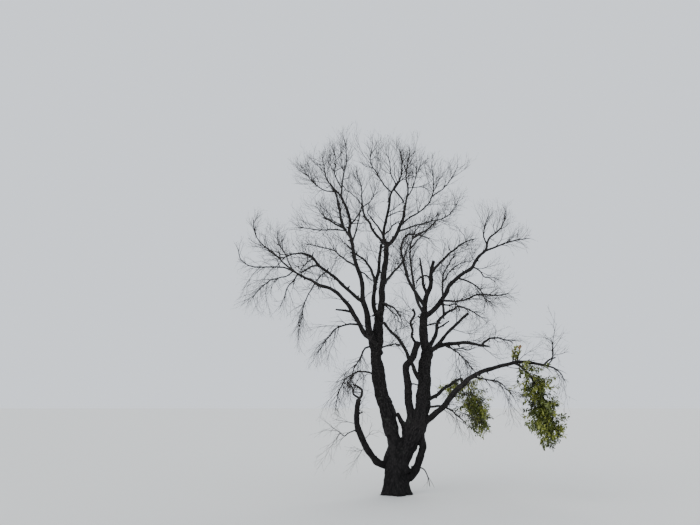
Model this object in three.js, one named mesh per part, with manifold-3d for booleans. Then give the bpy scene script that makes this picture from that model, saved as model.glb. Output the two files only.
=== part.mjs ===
// A dead field tree with several stems: a short flared trunk, three stems that rise from it, crooked boughs
// that taper, and a bare crown of fine twigs. Only two low boughs on the right still carry leaves.
// Millimetres, +Z up. The origin is the middle of the flat cut under the trunk, at ground level.
// +X is to the right and +Y away from the side that the tree is usually seen from.
import * as THREE from "three";
import Module from "manifold-3d";

const wasm = await Module();
wasm.setup();

// Driving dimensions. The tables of limbs are in metres and degrees and the solids in millimetres.
const METRE = 1000;
const CLEAR = 0.6; // gap between two solids that meet
const UP = new THREE.Vector3(0, 0, 1);
const RIGHT = new THREE.Vector3(1, 0, 0);
const NEARLY_UPRIGHT = 0.9; // share of a direction that is vertical

// Trunk: a short column with a flared, lobed foot.
const TRUNK_HEIGHT = 1.22;
const TRUNK_GIRTH = 0.72; // diameter above the flare
const TRUNK_LEAN = 2; // degrees towards +X
const FLARE = 0.13; // what the flare adds to the radius at the ground
const FLARE_HEIGHT = 0.26;
const ROOT_LOBES = 5;
const LOBE_DEPTH = 0.16; // share of the radius at the ground
const LOBE_TURN = 1; // radians that the lobes are turned by
const TRUNK_SIDES = 18;
const TRUNK_RINGS = [0, 0.12, 0.3, 0.55, 0.9, TRUNK_HEIGHT];

// Limbs: how crooked they are and how many faces go round them.
const CROOK = 0.055; // sideways kink in the middle of a long leg, as a share of the leg
const LONG_LEG = 0.55; // metres
const COLLAR = 1.22; // swelling where a limb leaves another, as a share of its own girth
const NEAR_TIP = 0.9; // a limb that leaves past this share of its parent carries it on and has no collar
const SIDES_BY_GIRTH = [
  [0.3, 10],
  [0.15, 8],
  [0.09, 6],
  [0.078, 4],
];
const FEWEST_SIDES = 3;

// Twigs: one seeded rule for all masses.
const GOLDEN_ANGLE = 137.5;
const TURN_SPREAD = 30; // how far the turn from one twig to the next strays, in degrees
const TWIG_LEAN = 46; // degrees off the leader that a twig leaves
const LEAN_SPREAD = 16;
const TWIG_FOOT = 0.62; // share of its leader's girth there
const THICKEST_TWIG = 0.032; // diameter of a twig's foot
const TWIG_START = 0.16; // share of the leader kept bare at its foot
const LAST_TWIG = 0.985; // share of the leader past which no twig leaves
const STEP_START = 0.55; // where in its step a twig leaves the leader, from here
const STEP_SPREAD = 0.3; // over this share of the step
const TWIG_SHORTENING = 0.45; // how much shorter twigs grow towards the leader's tip
const LEAST_LENGTH = 0.75; // a twig's length, as a share of what the mass allows, from here
const LENGTH_SPREAD = 0.5; // over this span
const ELBOW = 0.48; // share of a twig's length where it kinks
const ELBOW_GIRTH = 0.72; // share of its girth left there
const ELBOW_OFFSET = 0.1; // how far the elbow stands aside, as a share of the length
const TURN_BACK = 0.2; // how far the outer part turns back again
const LIFT_AT_FOOT = 0.5; // shares of a mass's lift that bend the inner and the outer part
const LIFT_AT_ELBOW = 0.6;
const LONG_TWIG = 0.5; // a twig over this length, in metres, carries a side twig
const SIDE_TWIG_LENGTH = 0.55; // share of its twig
const SIDE_TWIG_START = 0.4; // where on the twig a side twig leaves, from here
const SIDE_TWIG_SPREAD = 0.25; // over this share of the twig
const TWIG_ROOT = 0.25; // share of a twig's inner part that may lie near other limbs
const TWIG_CLEAR = 0.012; // room kept round every twig, in metres
const GROUND_CLEAR = 0.25; // no twig hangs lower than this, in metres
const TINY = 1e-12;

// Leaves: each stands for a spray, so it is larger than a single leaf.
const LEAF_LENGTH = 0.28;
const LEAF_WIDTH = 0.55; // share of the length
const LEAF_THICKNESS = 0.07; // share of the length
const LEAF_MIDDLE = 0.42; // share of the length where it is widest
const LEAF_RIDGE = 0.3; // share of the length where it is thickest
const LEAF_ROOT = 0.5; // how far its root runs past its twig's middle, as a share of the twig's radius
const LEAF_STEP = 0.23; // spacing along a twig, in metres
const LEAF_TURN_SPREAD = 40; // degrees
const LEAF_FORWARD = 0.5; // how far a leaf points on along its twig
const LEAF_DROOP = 0.55; // how far it hangs
const LEAST_LEAF = 0.7; // a leaf's size, as a share of LEAF_LENGTH, from here
const LEAF_SPREAD = 0.5; // over this span
const BARE_LEADER = 0.35; // share of a leader that bears no leaf, from its foot
const BARE_TWIG = 0.2; // the same for a twig
const LEAF_CLEAR = 0.03; // room kept round every leaf, in metres
const LEAF_STALK = 0.05; // length at its root that may lie near other limbs, in metres

const BARK = new THREE.MeshStandardMaterial({ color: 0x3a3430, roughness: 0.95, metalness: 0 });
const TWIG_BARK = new THREE.MeshStandardMaterial({ color: 0x453d37, roughness: 0.95, metalness: 0 });
const LEAF = new THREE.MeshStandardMaterial({ color: 0x8d9a3c, roughness: 0.7, metalness: 0 });

// A limb leaves another, named by `on`, at a share of that limb's length. It has a diameter at its foot and
// at its tip, `away` is how far its tip lies behind its foot, and each leg is a run and a lean: the length in
// the plane that faces the viewer, and degrees off the vertical, positive towards +X.
const limb = (name, on, at, foot, tip, away, ...legs) => ({ name, on, at, foot, tip, away, legs });

// The parts of the trunk above its column: the feet of two stems, a strut that grew from the flare into the
// right stem, and the snag of a lost shoot between the stems.
const TRUNK_PARTS = [
  limb("left_foot", "column", 0.68, 0.6, 0.5, 0, [0.58, -9], [0.59, -8]),
  limb("right_foot", "column", 0.68, 0.56, 0.5, 0, [0.5, 30], [0.43, 34], [0.52, 27]),
  limb("strut", "column", 0.27, 0.26, 0.2, -0.03,
    [0.6, 61], [0.31, 31], [0.29, 21], [0.28, 14], [0.33, -8]),
  limb("snag", "right_foot", 0.7, 0.1, 0.05, -0.1, [0.34, -38], [0.3, -26]),
];

const BOUGHS = [
  limb("left_stem", "left_foot", 1, 0.5, 0.3, 0.2,
    [0.56, -10], [1.3, -12], [0.65, -4], [0.5, 9], [0.57, 2]),
  limb("middle_stem", "right_foot", 0.52, 0.22, 0.15, -0.2,
    [0.87, 5], [0.85, -5], [0.73, -2], [0.31, 36], [0.52, 21]),
  limb("right_stem", "right_foot", 1, 0.5, 0.36, 0.1, [0.76, 13], [0.63, 5], [0.91, 8]),
  limb("right_upper_stem", "right_stem", 1, 0.31, 0.24, 0.1, [0.42, -12], [0.34, -6], [0.54, 7]),
  limb("left_outer_limb", "left_stem", 0.69, 0.26, 0.15, -0.7, [0.38, -24], [0.29, -17], [0.98, -13]),
  limb("left_long_limb", "left_outer_limb", 0.28, 0.16, 0.08, 1.3,
    [0.22, -60], [0.43, -27], [0.7, -29], [0.62, -38], [0.64, -63], [1.01, -60]),
  limb("left_upper_limb", "left_outer_limb", 0.97, 0.11, 0.06, -2.2,
    [0.2, -66], [0.84, -55], [0.5, -62], [0.35, -45], [0.28, -83]),
  limb("left_rising_limb", "left_outer_limb", 1, 0.145, 0.07, -0.3,
    [0.68, -4], [1.35, -14], [0.34, -11], [0.24, 12], [0.38, -15], [0.55, -23]),
  limb("centre_left_limb", "left_stem", 0.98, 0.16, 0.07, -2.0,
    [0.43, -23], [0.43, -2], [0.56, 10], [0.73, 7]),
  limb("centre_limb", "left_stem", 1, 0.22, 0.16, 0.4, [0.53, 13], [0.74, 2], [0.99, 8], [0.41, 4]),
  limb("crossing_limb", "centre_limb", 0.98, 0.1, 0.065, 1.8,
    [0.41, -33], [0.52, -26], [0.67, -21], [0.45, -13]),
  limb("crown_limb", "centre_limb", 1, 0.1, 0.07, -1.8, [0.25, -31], [0.27, 8], [0.4, 13], [0.29, 5]),
  limb("crown_right_limb", "centre_limb", 0.97, 0.14, 0.085, 0.5,
    [0.29, 44], [0.43, 32], [0.48, 20], [0.65, 12]),
  limb("cross_limb", "right_stem", 0.53, 0.13, 0.075, -1.7,
    [0.4, -38], [0.52, -29], [0.79, -32], [0.61, -48]),
  limb("sinuous_limb", "middle_stem", 0.98, 0.085, 0.06, -0.3,
    [0.33, -30], [0.19, 10], [0.23, -17], [0.31, 24], [0.17, -23]),
  limb("right_blunt_limb", "right_upper_stem", 1, 0.18, 0.1, -0.8, [0.53, 3], [0.4, 22], [0.74, 6]),
  limb("right_long_limb", "right_upper_stem", 0.93, 0.17, 0.085, 1.1,
    [0.44, 54], [0.44, 38], [0.64, 30], [1.13, 53], [0.56, 33], [0.39, 47]),
  limb("right_inner_limb", "right_stem", 0.98, 0.15, 0.06, 1.6,
    [0.57, 28], [0.63, 20], [0.58, 41], [0.59, 58]),
  limb("right_level_limb", "right_stem", 0.96, 0.16, 0.07, -1.1,
    [0.32, 46], [0.34, 72], [0.58, 86], [0.46, 107]),
  limb("broken_limb", "right_level_limb", 0.22, 0.1, 0.07, -1.5, [0.4, 34], [0.35, 40], [0.46, 48]),
  limb("right_middle_limb", "right_stem", 0.24, 0.12, 0.07, 1.5, [0.68, 56], [0.51, 54], [0.64, 64]),
  limb("right_low_bough", "right_foot", 0.95, 0.2, 0.14, -0.8,
    [0.68, 52], [0.35, 51], [0.71, 39], [0.38, 44]),
  limb("right_low_reach", "right_low_bough", 1, 0.14, 0.07, -0.7,
    [0.24, 60], [0.48, 68], [0.54, 75], [0.56, 86], [0.47, 102]),
  limb("left_low_bough", "column", 0.56, 0.21, 0.13, -0.65,
    [0.7, -64], [0.53, -36], [0.53, -24], [0.41, -13], [0.55, 6]),
];

// Each mass of twigs has a first leader, called stem, that carries on from a bough, and may have more that
// fork from it. `twigs` is how many the rule may set on them, `length` how long the longest is, and `lift`
// how far they turn up (or down, below 0). Leaders are limbs that share the mass's node.
const mass = (name, twigs, length, lift, ...leaders) => ({ name, twigs, length, lift, leaders });

const MASSES = [
  mass("left_end_twigs", 8, 0.85, 0.35,
    limb("stem", "left_long_limb", 1, 0.075, 0.024, 0.5,
      [0.57, -52], [0.66, -44], [0.59, -52], [0.53, -33], [0.6, -8]),
    limb("inner", "stem", 0.1, 0.05, 0.02, 1.4, [0.8, -24], [0.66, -29], [0.5, -6])),
  mass("left_end_low_twigs", 8, 0.75, -0.3,
    limb("stem", "left_long_limb", 0.98, 0.07, 0.024, -1.2,
      [0.48, -66], [0.37, -90], [0.83, -94], [0.4, -54], [0.36, -8]),
    limb("drooping", "stem", 0.1, 0.05, 0.02, -1.6,
      [0.28, -139], [0.55, -117], [0.53, -142], [0.41, -153])),
  mass("left_hanging_twigs", 6, 0.5, -0.5,
    limb("stem", "left_long_limb", 0.8, 0.05, 0.02, -0.7,
      [0.43, -153], [0.44, -159], [0.59, -173], [0.47, -166])),
  mass("left_side_twigs", 7, 0.55, -0.45,
    limb("stem", "left_long_limb", 0.17, 0.07, 0.024, -1.5,
      [0.36, -95], [0.43, -115], [0.4, -142], [0.7, -150])),
  mass("left_upper_end_twigs", 7, 0.7, 0.15,
    limb("stem", "left_upper_limb", 1, 0.056, 0.022, -0.6, [0.3, -106], [0.3, -119], [0.4, -63])),
  mass("left_inner_twigs", 7, 0.6, 0.25,
    limb("stem", "left_rising_limb", 0.32, 0.07, 0.024, 3.1,
      [0.57, -46], [0.61, -36], [0.46, -57], [0.78, -58])),
  mass("left_fork_twigs", 10, 0.7, 0.35,
    limb("stem", "left_rising_limb", 0.6, 0.075, 0.024, 2.1,
      [0.37, -27], [0.49, -13], [0.5, -11], [0.6, -6]),
    limb("level", "stem", 0.16, 0.055, 0.02, -1.8, [0.31, -98], [0.55, -112], [0.33, -99], [0.37, -102]),
    limb("slanting", "stem", 0.3, 0.045, 0.02, 1.5, [0.47, -50], [0.57, -47], [0.6, -26])),
  mass("left_top_twigs", 11, 0.7, 0.5,
    limb("stem", "left_rising_limb", 1, 0.068, 0.02, 0.4, [0.49, 3], [0.83, 10], [0.9, -4]),
    limb("second", "stem", 0.13, 0.05, 0.02, 1.3, [0.73, -20], [0.7, 3], [0.65, -14])),
  mass("left_top_outer_twigs", 11, 0.85, 0.5,
    limb("stem", "left_rising_limb", 0.985, 0.066, 0.02, 2.2,
      [0.6, -30], [0.48, -28], [0.53, -12], [1.1, -8]),
    limb("outer", "stem", 0.12, 0.05, 0.02, 2.8, [0.51, -60], [0.82, -37], [0.88, -25], [0.4, -24])),
  mass("crossing_twigs", 11, 0.8, 0.5,
    limb("stem", "crossing_limb", 1, 0.062, 0.02, 0.5, [0.6, -3], [0.46, -2], [0.49, -18], [0.5, -6]),
    limb("left", "stem", 0.1, 0.045, 0.02, 0.9, [0.59, -32], [0.48, -41], [0.5, -30]),
    limb("right", "stem", 0.06, 0.05, 0.02, 1.1, [0.44, 44], [0.48, 21], [0.7, 12])),
  mass("crown_twigs", 11, 0.7, 0.5,
    limb("stem", "crown_limb", 1, 0.066, 0.02, -1.1, [0.28, 31], [0.27, 45], [0.35, 22], [0.4, -8]),
    limb("left", "stem", 0.08, 0.055, 0.02, -1.6, [0.25, -72], [0.4, -47], [0.3, -45], [0.3, 12]),
    limb("middle", "stem", 0.25, 0.045, 0.02, -0.2, [0.34, -26], [0.4, -8], [0.35, -18])),
  mass("crown_right_twigs", 11, 0.85, 0.55,
    limb("stem", "crown_right_limb", 1, 0.08, 0.02, 0.8, [0.67, 12], [0.63, -4], [0.9, 10], [0.5, 6]),
    limb("right", "stem", 0.1, 0.055, 0.02, 1.6, [0.73, 25], [0.82, 17], [0.8, 27])),
  mass("crown_side_twigs", 8, 0.7, 0.4,
    limb("stem", "crown_right_limb", 0.56, 0.07, 0.022, -2.2,
      [0.29, 63], [0.55, 67], [0.4, 34], [0.8, -10]),
    limb("outer", "stem", 0.58, 0.045, 0.02, -0.9, [0.4, 66], [0.4, 40], [0.35, 26])),
  mass("crown_reach_twigs", 8, 0.75, 0.4,
    limb("stem", "crown_right_limb", 0.38, 0.07, 0.022, 2.5,
      [0.51, 57], [0.86, 64], [1.01, 61], [1.15, 33])),
  mass("arching_twigs", 6, 0.55, 0.2,
    limb("stem", "centre_left_limb", 0.5, 0.08, 0.024, -2.0,
      [0.34, -25], [0.36, -44], [0.25, -73], [0.45, -60])),
  mass("centre_hanging_twigs", 4, 0.45, -0.4,
    limb("stem", "centre_limb", 0.2, 0.07, 0.024, -1.3, [0.33, 125], [0.35, 147], [0.32, 164])),
  mass("centre_side_twigs", 7, 0.6, 0.35,
    limb("stem", "centre_limb", 0.4, 0.09, 0.024, 2.5,
      [0.4, 30], [0.55, 36], [0.47, 38], [0.73, 21], [0.55, 22])),
  mass("right_front_twigs", 7, 0.6, 0.2,
    limb("stem", "right_blunt_limb", 0.16, 0.1, 0.024, -3.1,
      [0.5, -45], [0.41, -40], [0.48, -23], [0.41, -18], [0.33, 25], [0.34, 107], [0.37, 125])),
  mass("right_back_twigs", 8, 0.65, 0.35,
    limb("stem", "right_upper_stem", 0.98, 0.09, 0.024, 2.6,
      [0.76, -16], [0.99, -3], [1.02, 1], [0.9, 19], [0.5, 38]),
    limb("right", "stem", 0.65, 0.045, 0.02, 0.4, [0.59, 38], [0.48, 43], [0.5, 48])),
  mass("right_arm_twigs", 6, 0.6, 0.25,
    limb("stem", "right_blunt_limb", 0.78, 0.085, 0.026, -2.5,
      [0.3, 47], [0.41, 53], [0.17, 66], [0.3, 90])),
  mass("right_end_rising_twigs", 8, 0.7, 0.5,
    limb("stem", "right_long_limb", 1, 0.08, 0.022, 0.8, [0.45, 18], [0.39, 45], [0.46, 45], [0.6, 28]),
    limb("inner", "stem", 0.14, 0.05, 0.02, -0.9, [0.3, -37], [0.3, 1], [0.4, 15])),
  mass("right_end_twigs", 7, 0.65, 0.1,
    limb("stem", "right_long_limb", 0.985, 0.07, 0.022, -0.7, [0.58, 72], [0.4, 78], [0.5, 86])),
  mass("right_side_twigs", 7, 0.55, -0.15,
    limb("stem", "right_long_limb", 0.25, 0.07, 0.024, -3.1,
      [0.3, 118], [0.3, 99], [0.3, 76], [0.47, 112], [0.25, 91])),
  mass("right_tall_twigs", 8, 0.7, 0.4,
    limb("stem", "right_inner_limb", 0.7, 0.075, 0.024, 2.3, [0.59, 5], [1.12, 9], [0.96, 31], [0.4, 36]),
    limb("right", "stem", 0.44, 0.05, 0.02, 0.4, [0.83, 36], [0.7, 65])),
  mass("right_inner_twigs", 6, 0.5, -0.1,
    limb("stem", "right_inner_limb", 1, 0.056, 0.022, 0.9, [0.53, 100], [0.58, 114])),
  mass("right_level_twigs", 6, 0.5, -0.25,
    limb("stem", "right_level_limb", 1, 0.066, 0.024, -1.2, [0.25, 44], [0.33, 100], [0.25, 132])),
  mass("right_low_hanging_twigs", 5, 0.5, -0.4,
    limb("stem", "right_level_limb", 0.36, 0.065, 0.024, -2.0, [0.45, 135], [0.62, 160])),
  mass("low_reach_end_twigs", 7, 0.5, -0.05,
    limb("stem", "right_low_reach", 1, 0.066, 0.02, -0.4, [0.19, 110], [0.23, 137], [0.3, 160]),
    limb("rising", "stem", 0.08, 0.045, 0.02, -1.0, [0.22, 20], [0.31, -15], [0.3, -35])),
  mass("low_reach_inner_twigs", 5, 0.45, -0.3,
    limb("stem", "right_low_reach", 0.06, 0.065, 0.022, -1.4, [0.32, 108], [0.3, 101], [0.5, 150])),
  mass("left_low_end_twigs", 6, 0.4, -0.2,
    limb("stem", "left_low_bough", 1, 0.1, 0.05, -0.6, [0.24, 30], [0.16, -23], [0.26, -68]),
    limb("outer", "stem", 0.1, 0.075, 0.035, 0.6, [0.22, -57], [0.19, -10], [0.3, -41])),
  mass("left_drooping_twigs", 7, 0.6, -0.5,
    limb("stem", "left_stem", 0.45, 0.07, 0.024, 1.8,
      [0.38, -61], [0.39, -88], [0.48, -122], [0.45, -152], [0.65, -170])),
  mass("left_inner_drooping_twigs", 7, 0.5, -0.5,
    limb("stem", "left_outer_limb", 0.12, 0.07, 0.024, -2.0,
      [0.28, -111], [0.44, -150], [0.43, -152], [0.53, -165])),
];

// Leafy masses follow the same rule and then bear leaves on their leaders and twigs.
const LEAFY_MASSES = [
  mass("middle_leaves", 10, 0.62, -0.15,
    limb("stem", "right_middle_limb", 1, 0.066, 0.024, 0.4,
      [0.37, 138], [0.5, 154], [0.55, 166], [0.5, 172])),
  mass("hanging_leaves", 14, 0.75, -0.35,
    limb("stem", "right_low_reach", 0.62, 0.08, 0.024, -0.4,
      [0.3, 122], [0.45, 144], [0.65, 156], [0.55, -179], [0.55, -173])),
  mass("upright_leaves", 4, 0.3, 0.3,
    limb("stem", "right_low_reach", 0.6, 0.05, 0.02, 0.15, [0.25, 16], [0.22, 21], [0.16, 27])),
];

// Seeded random numbers, the same on every run.
function randomFrom(seed) {
  let state = seed >>> 0;
  return () => {
    state = (state + 0x6d2b79f5) >>> 0;
    let t = state;
    t = Math.imul(t ^ (t >>> 15), t | 1);
    t ^= t + Math.imul(t ^ (t >>> 7), t | 61);
    return ((t ^ (t >>> 14)) >>> 0) / 4294967296;
  };
}

function seedOf(name) {
  let seed = 7;
  for (const letter of name) seed = (Math.imul(seed, 31) + letter.charCodeAt(0)) >>> 0;
  return seed;
}

const radians = (degrees) => (degrees * Math.PI) / 180;

// Any direction across another one.
function across(direction) {
  const helper = Math.abs(direction.z) < NEARLY_UPRIGHT ? UP : RIGHT;
  return new THREE.Vector3().crossVectors(direction, helper).normalize();
}

// The axis of a limb: its foot on the parent, its elbows and, on a bough, a kink in the middle of each leg.
function axisOf(row, foot, kinked) {
  const random = randomFrom(seedOf(row.name + row.on));
  const whole = row.legs.reduce((sum, [run]) => sum + run, 0);
  const points = [foot.clone()];
  for (const [run, lean] of row.legs) {
    const from = points[points.length - 1];
    const step = new THREE.Vector3(
      run * Math.sin(radians(lean)),
      (row.away * run) / whole,
      run * Math.cos(radians(lean)),
    );
    if (kinked && run > LONG_LEG) {
      const way = step.clone().normalize();
      const side = across(way).applyAxisAngle(way, random() * 2 * Math.PI);
      points.push(from.clone().addScaledVector(step, 0.5).addScaledVector(side, CROOK * run));
    }
    points.push(from.clone().add(step));
  }
  return points;
}

// How far along its length each point of an axis lies, from 0 to 1.
function sharesAlong(points) {
  const lengths = [0];
  for (let i = 1; i < points.length; i++) {
    lengths.push(lengths[i - 1] + points[i].distanceTo(points[i - 1]));
  }
  return lengths.map((length) => length / lengths[lengths.length - 1]);
}

// The point, direction and radius of a limb at a share of its length.
function placeOn(grown, share) {
  const { points, shares, radii } = grown;
  let i = 1;
  while (i < shares.length - 1 && shares[i] < share) i++;
  const part = (share - shares[i - 1]) / (shares[i] - shares[i - 1]);
  return {
    point: points[i - 1].clone().lerp(points[i], part),
    direction: points[i].clone().sub(points[i - 1]).normalize(),
    radius: radii[i - 1] + (radii[i] - radii[i - 1]) * part,
  };
}

function sidesFor(girth) {
  const match = SIDES_BY_GIRTH.find(([least]) => girth >= least);
  return match ? match[1] : FEWEST_SIDES;
}

// A limb grown on its parent: its axis, its radius at each point and the number of its faces.
function growLimb(row, parent, { kinked = true, collar = true } = {}) {
  const foot = placeOn(parent, row.at).point;
  const points = axisOf(row, foot, kinked);
  const shares = sharesAlong(points);
  const radii = shares.map((share) => (row.foot + (row.tip - row.foot) * share) / 2);
  if (collar && row.at < NEAR_TIP) radii[0] *= COLLAR;
  return { points, shares, radii, sides: sidesFor(row.foot) };
}

// A closed tube round an axis, as an indexed geometry in millimetres. `grow` widens it on all sides, and a
// pointed tube ends in one vertex.
function tube(points, radii, sides, { grow = 0, pointed = false, level = false } = {}) {
  const positions = [];
  const index = [];
  const margin = grow / Math.cos(Math.PI / sides);
  const last = points.length - 1;
  let side = null;
  for (let i = 0; i <= last; i++) {
    const before = points[Math.max(i - 1, 0)];
    const after = points[Math.min(i + 1, last)];
    const along = level && i === 0 ? UP.clone() : after.clone().sub(before).normalize();
    side = side ? side.addScaledVector(along, -side.dot(along)).normalize() : across(along);
    const other = new THREE.Vector3().crossVectors(along, side);
    const centre = points[i].clone().multiplyScalar(METRE);
    if (i === 0) centre.addScaledVector(along, -grow);
    if (i === last) centre.addScaledVector(along, grow);
    if (i === last && pointed) {
      positions.push(...centre.toArray());
      break;
    }
    const radius = radii[i] * METRE + margin;
    for (let k = 0; k < sides; k++) {
      const angle = (2 * Math.PI * k) / sides;
      const corner = centre.clone();
      corner.addScaledVector(side, radius * Math.cos(angle));
      corner.addScaledVector(other, radius * Math.sin(angle));
      positions.push(...corner.toArray());
    }
  }
  const rings = pointed ? last : last + 1;
  for (let i = 0; i + 1 < rings; i++) {
    for (let k = 0; k < sides; k++) {
      const a = i * sides + k;
      const b = i * sides + ((k + 1) % sides);
      index.push(a, b, b + sides, a, b + sides, a + sides);
    }
  }
  const top = (rings - 1) * sides;
  for (let k = 1; k + 1 < sides; k++) {
    index.push(0, k + 1, k);
    if (!pointed) index.push(top, top + k, top + k + 1);
  }
  if (pointed) {
    for (let k = 0; k < sides; k++) index.push(top + k, top + ((k + 1) % sides), top + sides);
  }
  return indexed(positions, index);
}

function indexed(positions, index) {
  const geometry = new THREE.BufferGeometry();
  geometry.setAttribute("position", new THREE.Float32BufferAttribute(positions, 3));
  geometry.setIndex(index);
  return geometry;
}

function solidOf(geometry) {
  return new wasm.Manifold(
    new wasm.Mesh({
      numProp: 3,
      vertProperties: new Float32Array(geometry.getAttribute("position").array),
      triVerts: new Uint32Array(geometry.getIndex().array),
    }),
  );
}

const limbSolid = (grown, grow = 0) => solidOf(tube(grown.points, grown.radii, grown.sides, { grow }));

// The trunk's column: rings whose outline has a lobe over each root, fading out above the flare.
function columnAxis() {
  const lean = Math.tan(radians(TRUNK_LEAN));
  const points = TRUNK_RINGS.map((height) => new THREE.Vector3(lean * height, 0, height));
  const radii = TRUNK_RINGS.map((height) => TRUNK_GIRTH / 2 + FLARE * Math.exp(-height / FLARE_HEIGHT));
  return { points, radii, shares: TRUNK_RINGS.map((height) => height / TRUNK_HEIGHT), sides: TRUNK_SIDES };
}

function columnSolid(axis, grow) {
  const geometry = tube(axis.points, axis.radii, axis.sides, { grow, level: true });
  const positions = geometry.getAttribute("position");
  const corner = new THREE.Vector3();
  for (let i = 0; i < positions.count; i++) {
    const ring = Math.floor(i / axis.sides);
    const centre = axis.points[ring].clone().multiplyScalar(METRE);
    const height = TRUNK_RINGS[ring];
    corner.fromBufferAttribute(positions, i);
    const angle = Math.atan2(corner.y - centre.y, corner.x - centre.x);
    const lobe = 1 + LOBE_DEPTH * Math.exp(-height / FLARE_HEIGHT) * Math.cos(ROOT_LOBES * angle + LOBE_TURN);
    positions.setX(i, centre.x + (corner.x - centre.x) * lobe);
    positions.setY(i, centre.y + (corner.y - centre.y) * lobe);
    if (ring === 0) positions.setZ(i, grow > 0 ? -grow : 0);
  }
  return solidOf(geometry);
}

// The largest closed body of a solid. Loose scraps are dropped and sealed hollows are filled.
function mainBody(solid) {
  const bodies = solid.decompose();
  return bodies.reduce((best, body) => (body.volume() > best.volume() ? body : best));
}

function boxesMeet(a, b) {
  const p = a.boundingBox();
  const q = b.boundingBox();
  return [0, 1, 2].every((i) => p.min[i] < q.max[i] && q.min[i] < p.max[i]);
}

// Shortest distance between two straight segments.
function segmentGap(a0, a1, b0, b1) {
  const u = a1.clone().sub(a0);
  const v = b1.clone().sub(b0);
  const w = a0.clone().sub(b0);
  const a = u.dot(u);
  const b = u.dot(v);
  const c = v.dot(v);
  const d = u.dot(w);
  const e = v.dot(w);
  const denominator = a * c - b * b;
  const clamp = (value) => Math.min(1, Math.max(0, value));
  const first = denominator > TINY ? clamp((b * e - c * d) / denominator) : 0;
  const t = clamp((b * first + e) / c);
  const s = a > TINY ? clamp((b * t - d) / a) : 0;
  return a0.clone().addScaledVector(u, s).distanceTo(b0.clone().addScaledVector(v, t));
}

// Whether a run of straight pieces passes clear of a grown limb.
function clearOf(points, radius, grown) {
  for (let i = 1; i < points.length; i++) {
    for (let k = 1; k < grown.points.length; k++) {
      const gap = segmentGap(points[i - 1], points[i], grown.points[k - 1], grown.points[k]);
      if (gap < radius + Math.max(grown.radii[k - 1], grown.radii[k]) + TWIG_CLEAR) return false;
    }
  }
  return true;
}

function nearest(point, limbs) {
  let least = Infinity;
  for (const grown of limbs) {
    for (let k = 1; k < grown.points.length; k++) {
      least = Math.min(least, segmentGap(point, point, grown.points[k - 1], grown.points[k]));
    }
  }
  return least;
}

// One twig: it leaves a leader at a place, with a kink half way, and turns up or down towards its tip.
function growTwig(place, turn, length, lift, random, straight = false) {
  const girth = Math.min(place.radius * 2 * TWIG_FOOT, THICKEST_TWIG);
  const side = across(place.direction).applyAxisAngle(place.direction, turn);
  const lean = radians(TWIG_LEAN + LEAN_SPREAD * (random() - 0.5));
  const way = place.direction.clone().multiplyScalar(Math.cos(lean)).addScaledVector(side, Math.sin(lean));
  way.z += lift * LIFT_AT_FOOT;
  way.normalize();
  const kink = across(way).applyAxisAngle(way, random() * 2 * Math.PI);
  const middle = place.point.clone().addScaledVector(way, length * ELBOW);
  middle.addScaledVector(kink, length * ELBOW_OFFSET);
  const turned = way.clone();
  turned.z += lift * LIFT_AT_ELBOW;
  turned.addScaledVector(kink, -TURN_BACK);
  turned.normalize();
  const tip = middle.clone().addScaledVector(turned, length * (1 - ELBOW));
  const points = straight ? [place.point, tip] : [place.point, middle, tip];
  const radii = straight ? [girth / 2, 0] : [girth / 2, (girth / 2) * ELBOW_GIRTH, 0];
  return { points, shares: sharesAlong(points), radii, sides: FEWEST_SIDES };
}

// The twigs of one mass. A twig that would leave the mass's own space or touch a limb is skipped.
function growTwigs(row, leaders, limbs, others) {
  const random = randomFrom(seedOf(row.name));
  const weights = leaders.map((grown) => grown.points[0].distanceTo(grown.points[grown.points.length - 1]));
  const whole = weights.reduce((sum, weight) => sum + weight, 0);
  const kept = [];
  const fits = (twig) => {
    const tip = twig.points[twig.points.length - 1];
    if (tip.z < GROUND_CLEAR || nearest(tip, leaders) > nearest(tip, others)) return false;
    const reach = twig.points.slice(1);
    const start = twig.points[0].clone().lerp(twig.points[1], TWIG_ROOT);
    const run = [start, ...reach];
    return [...limbs, ...others].every((grown) => clearOf(run, twig.radii[0], grown));
  };
  let turn = random() * 360;
  leaders.forEach((leader, order) => {
    const count = Math.round((row.twigs * weights[order]) / whole);
    for (let i = 0; i < count; i++) {
      const step = i + STEP_START + STEP_SPREAD * random();
      const share = TWIG_START + ((1 - TWIG_START) * step) / count;
      turn += GOLDEN_ANGLE + TURN_SPREAD * (random() - 0.5);
      const place = placeOn(leader, Math.min(share, LAST_TWIG));
      const longest = row.length * (1 - TWIG_SHORTENING * share);
      const length = longest * (LEAST_LENGTH + LENGTH_SPREAD * random());
      const twig = growTwig(place, radians(turn), length, row.lift, random);
      const sideShare = SIDE_TWIG_START + SIDE_TWIG_SPREAD * random();
      const sideTurn = random() * 360;
      if (!fits(twig)) continue;
      kept.push(twig);
      if (length < LONG_TWIG) continue;
      const from = placeOn(twig, sideShare);
      const sideLength = length * SIDE_TWIG_LENGTH;
      const sideTwig = growTwig(from, radians(sideTurn), sideLength, row.lift, random, true);
      if (fits(sideTwig)) kept.push(sideTwig);
    }
  });
  return kept;
}

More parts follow.
